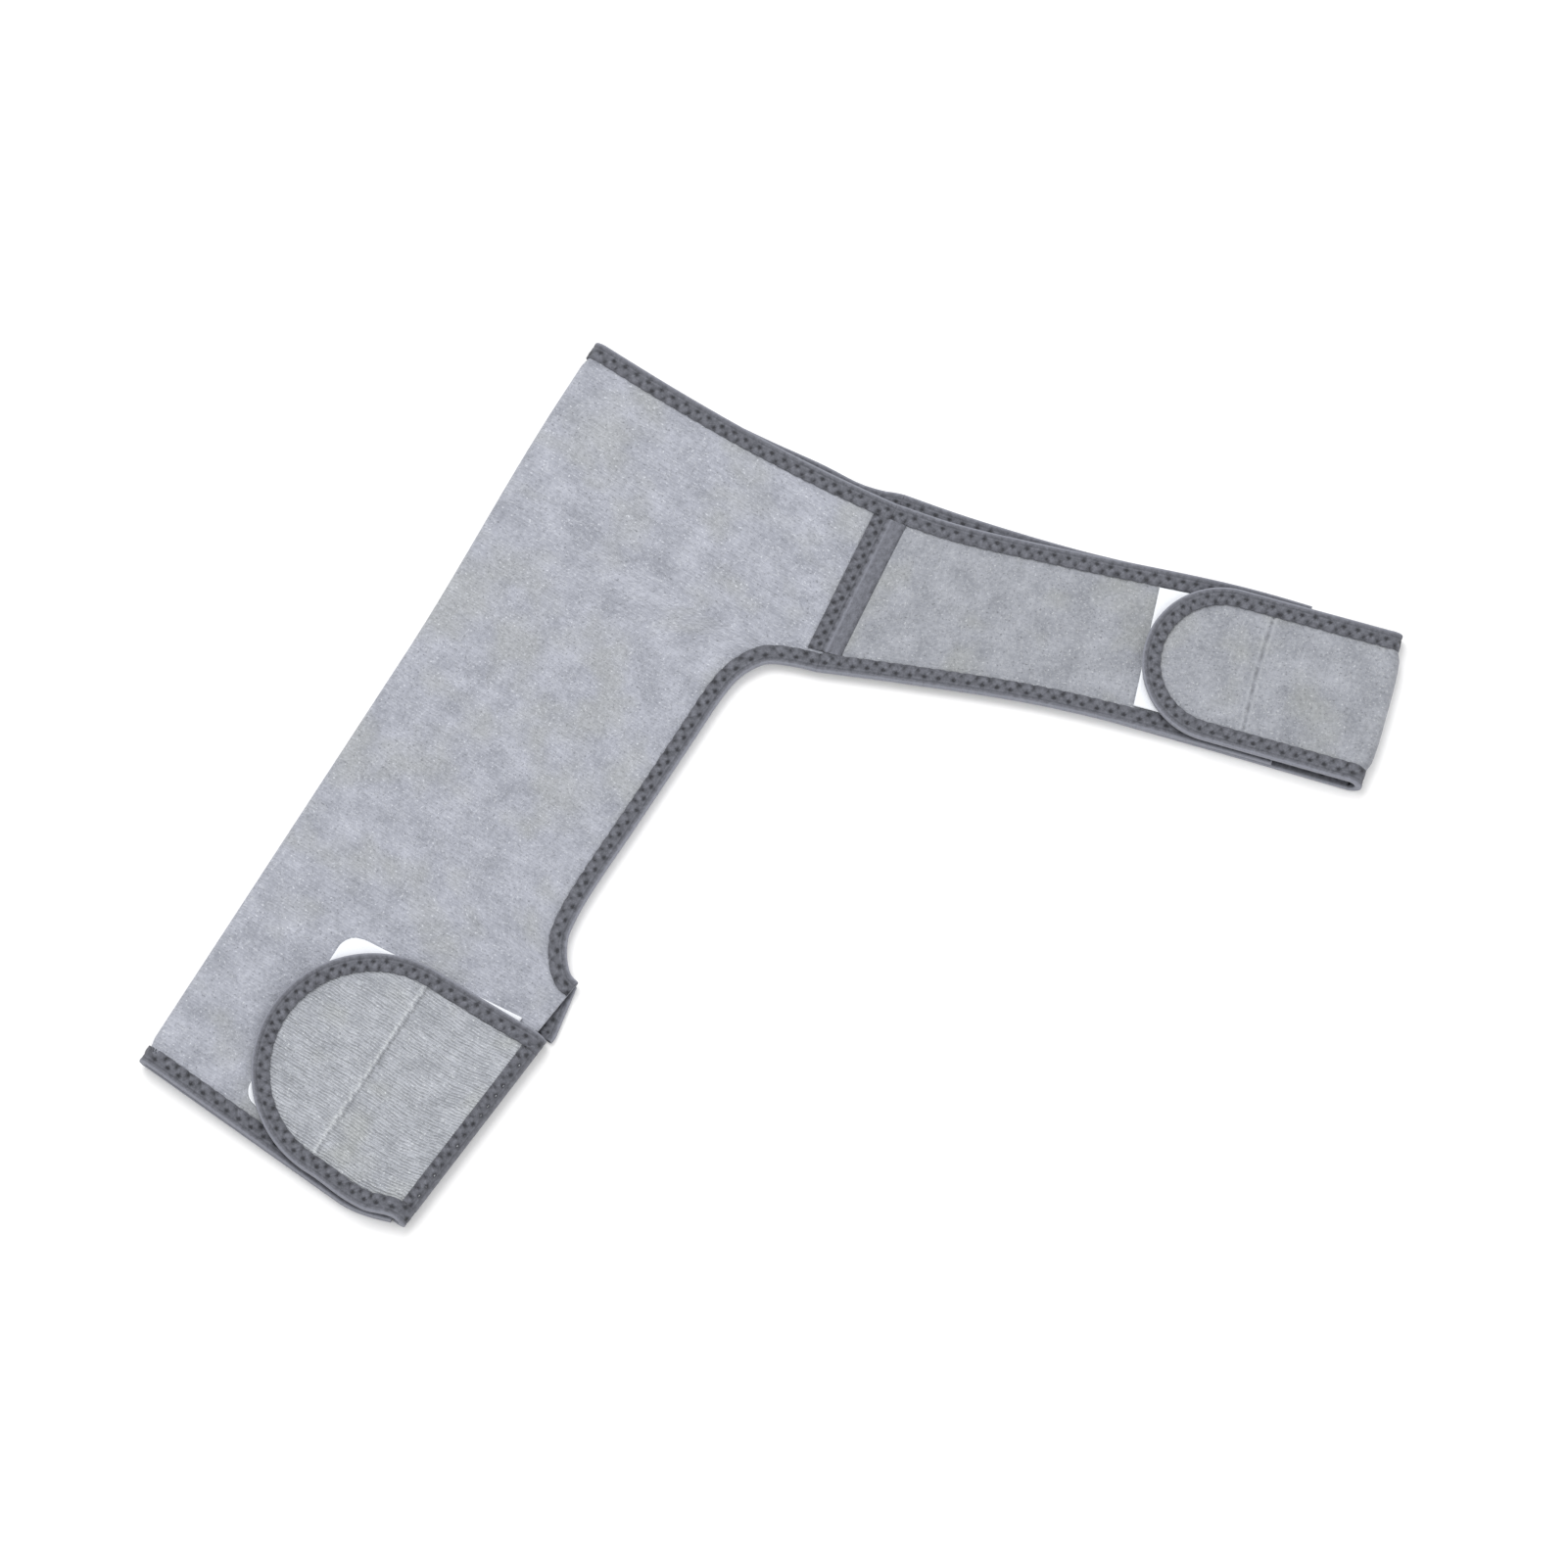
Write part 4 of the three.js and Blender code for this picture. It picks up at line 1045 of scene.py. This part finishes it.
def strap_patch():
    """The loop patch on the front strap, between its bindings."""
    shares = np.linspace(STRAP["patch"], STRAP["front_end"], 60)
    left, right = FRONT_EDGES.ends(shares)
    across = unit(left - right)
    ahead = np.stack([across[:, 1], -across[:, 0]], axis=1)
    drop = BOUND_REACH * smooth((shares - shares[0]) / (shares[-1] - shares[0]))[:, None]
    left = left - across * BOUND_REACH - ahead * drop
    right = right + across * BOUND_REACH - ahead * drop
    v = np.linspace(0, 1, 50)[:, None]
    plan = left[:, None] + (right - left)[:, None] * v
    patch_sheet("strap_loop", plan, PATCH_MID, LOOP)


def hook_patch(name, cloth, middle, ahead, left, radius, back):
    """The hook patch under a tab's round end."""
    reach = radius - HOOK_INSET
    angles = np.linspace(0, math.pi / 2, 30)
    straight = np.linspace(-back, 0, 12)[:-1]
    forward = np.concatenate([straight, reach * np.sin(angles)])
    half = np.concatenate([np.full(len(straight), reach), reach * np.cos(angles)])
    v = np.linspace(1, -1, 40)
    plan = middle + ahead * forward[:, None, None] + left * (half[:, None] * v)[..., None]
    patch_sheet(name, plan, HOOK_MID, HOOK)


body_patch()
strap_patch()
hook_patch("cuff_hook", "cuff_tab_cloth", cuff_tip[0], *TAB_WAYS, CUFF_TAB["radius"], 0.0)
hook_patch("strap_hook", "back_strap_cloth", back_tip[0], -CHEST_AHEAD, CHEST_LEFT, CHEST_TAB["radius"],
           CHEST_TAB["length"] * 0.3)

# Each piece stands in for its node and rides with the part
STANDS_FOR = {
    "knit": {
        "body_cloth": "body_panel",
        "front_strap_cloth": "front_strap",
        "back_strap_cloth": "back_strap",
        "cuff_tab_cloth": "cuff_tab",
    },
    "tape": {
        "neck_tape": "neck_binding",
        "cuff_tape": "cuff_binding",
        "front_armpit_tape": "front_armpit_binding",
        "back_armpit_tape": "back_armpit_binding",
        "front_strap_tape": "front_strap_binding",
        "back_strap_tape": "back_strap_binding",
        "cuff_tab_tape": "cuff_tab_binding",
        "front_join_tape": "front_join_band",
        "back_join_tape": "back_join_band",
        "cuff_join_tape": "cuff_join_band",
    },
    "loop": {"body_loop": "body_patch", "strap_loop": "strap_patch"},
    "hook": {"cuff_hook": "cuff_hook_patch", "strap_hook": "strap_hook_patch"},
}
for slot, nodes in STANDS_FOR.items():
    for name, node in nodes.items():
        piece = bpy.data.objects[name]
        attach(piece, "root")
        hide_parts(node)


# A plain pale floor, soft light and the camera at the photograph's angle, in metres
FLOOR = dict(half=6.0, drop=0.0002)


def white_floor():
    material = bpy.data.materials.new("floor")
    material.use_nodes = True
    shader = material.node_tree.nodes["Principled BSDF"]
    shader.inputs["Base Color"].default_value = (0.9, 0.9, 0.9, 1)
    shader.inputs["Roughness"].default_value = 0.9
    shader.inputs["Specular IOR Level"].default_value = 0.1
    mesh = bpy.data.meshes.new("floor")
    corners = [(-1, -1), (1, -1), (1, 1), (-1, 1)]
    points = [(x * FLOOR["half"], y * FLOOR["half"], -FLOOR["drop"]) for x, y in corners]
    mesh.from_pydata(points, [], [(0, 1, 2, 3)])
    mesh.materials.append(material)
    floor = bpy.data.objects.new("floor", mesh)
    bpy.context.scene.collection.objects.link(floor)


def area_light(name, position, aim, size, power):
    light = bpy.data.lights.new(name, "AREA")
    light.shape = "DISK"
    light.size = size
    light.energy = power
    lamp = bpy.data.objects.new(name, light)
    lamp.location = position
    lamp.rotation_euler = (Vector(aim) - Vector(position)).to_track_quat("-Z", "Y").to_euler()
    bpy.context.scene.collection.objects.link(lamp)


ELEVATION = math.radians(75)
AZIMUTH = math.radians(31.46)
LENS = 150
SENSOR = 36
FRAME_WIDTH = 0.757
TARGET = Vector((-0.02456, 0.03396, 0.0))

white_floor()
toward = Vector((math.sin(AZIMUTH) * math.cos(ELEVATION), -math.cos(AZIMUTH) * math.cos(ELEVATION),
                 math.sin(ELEVATION)))
up = Vector((-math.sin(AZIMUTH), math.cos(AZIMUTH), 0))
right = Vector((math.cos(AZIMUTH), math.sin(AZIMUTH), 0))
area_light("key", TARGET + up * 1.3 - right * 0.7 + Vector((0, 0, 2.6)), TARGET, 2.0, 52)
area_light("fill", TARGET - up * 1.4 + right * 1.2 + Vector((0, 0, 2.2)), TARGET, 2.4, 14)

world = bpy.data.worlds.new("studio")
world.use_nodes = True
world.node_tree.nodes["Background"].inputs["Color"].default_value = (1, 1, 1, 1)
world.node_tree.nodes["Background"].inputs["Strength"].default_value = 0.9
bpy.context.scene.world = world
bpy.context.scene.view_settings.view_transform = "Standard"

lens = bpy.data.cameras.new("camera")
lens.lens = LENS
lens.sensor_width = SENSOR
camera = bpy.data.objects.new("camera", lens)
camera.location = TARGET + toward * (FRAME_WIDTH / SENSOR * LENS)
camera.rotation_euler = (TARGET - camera.location).to_track_quat("-Z", "Y").to_euler()
bpy.context.scene.collection.objects.link(camera)
bpy.context.scene.camera = camera
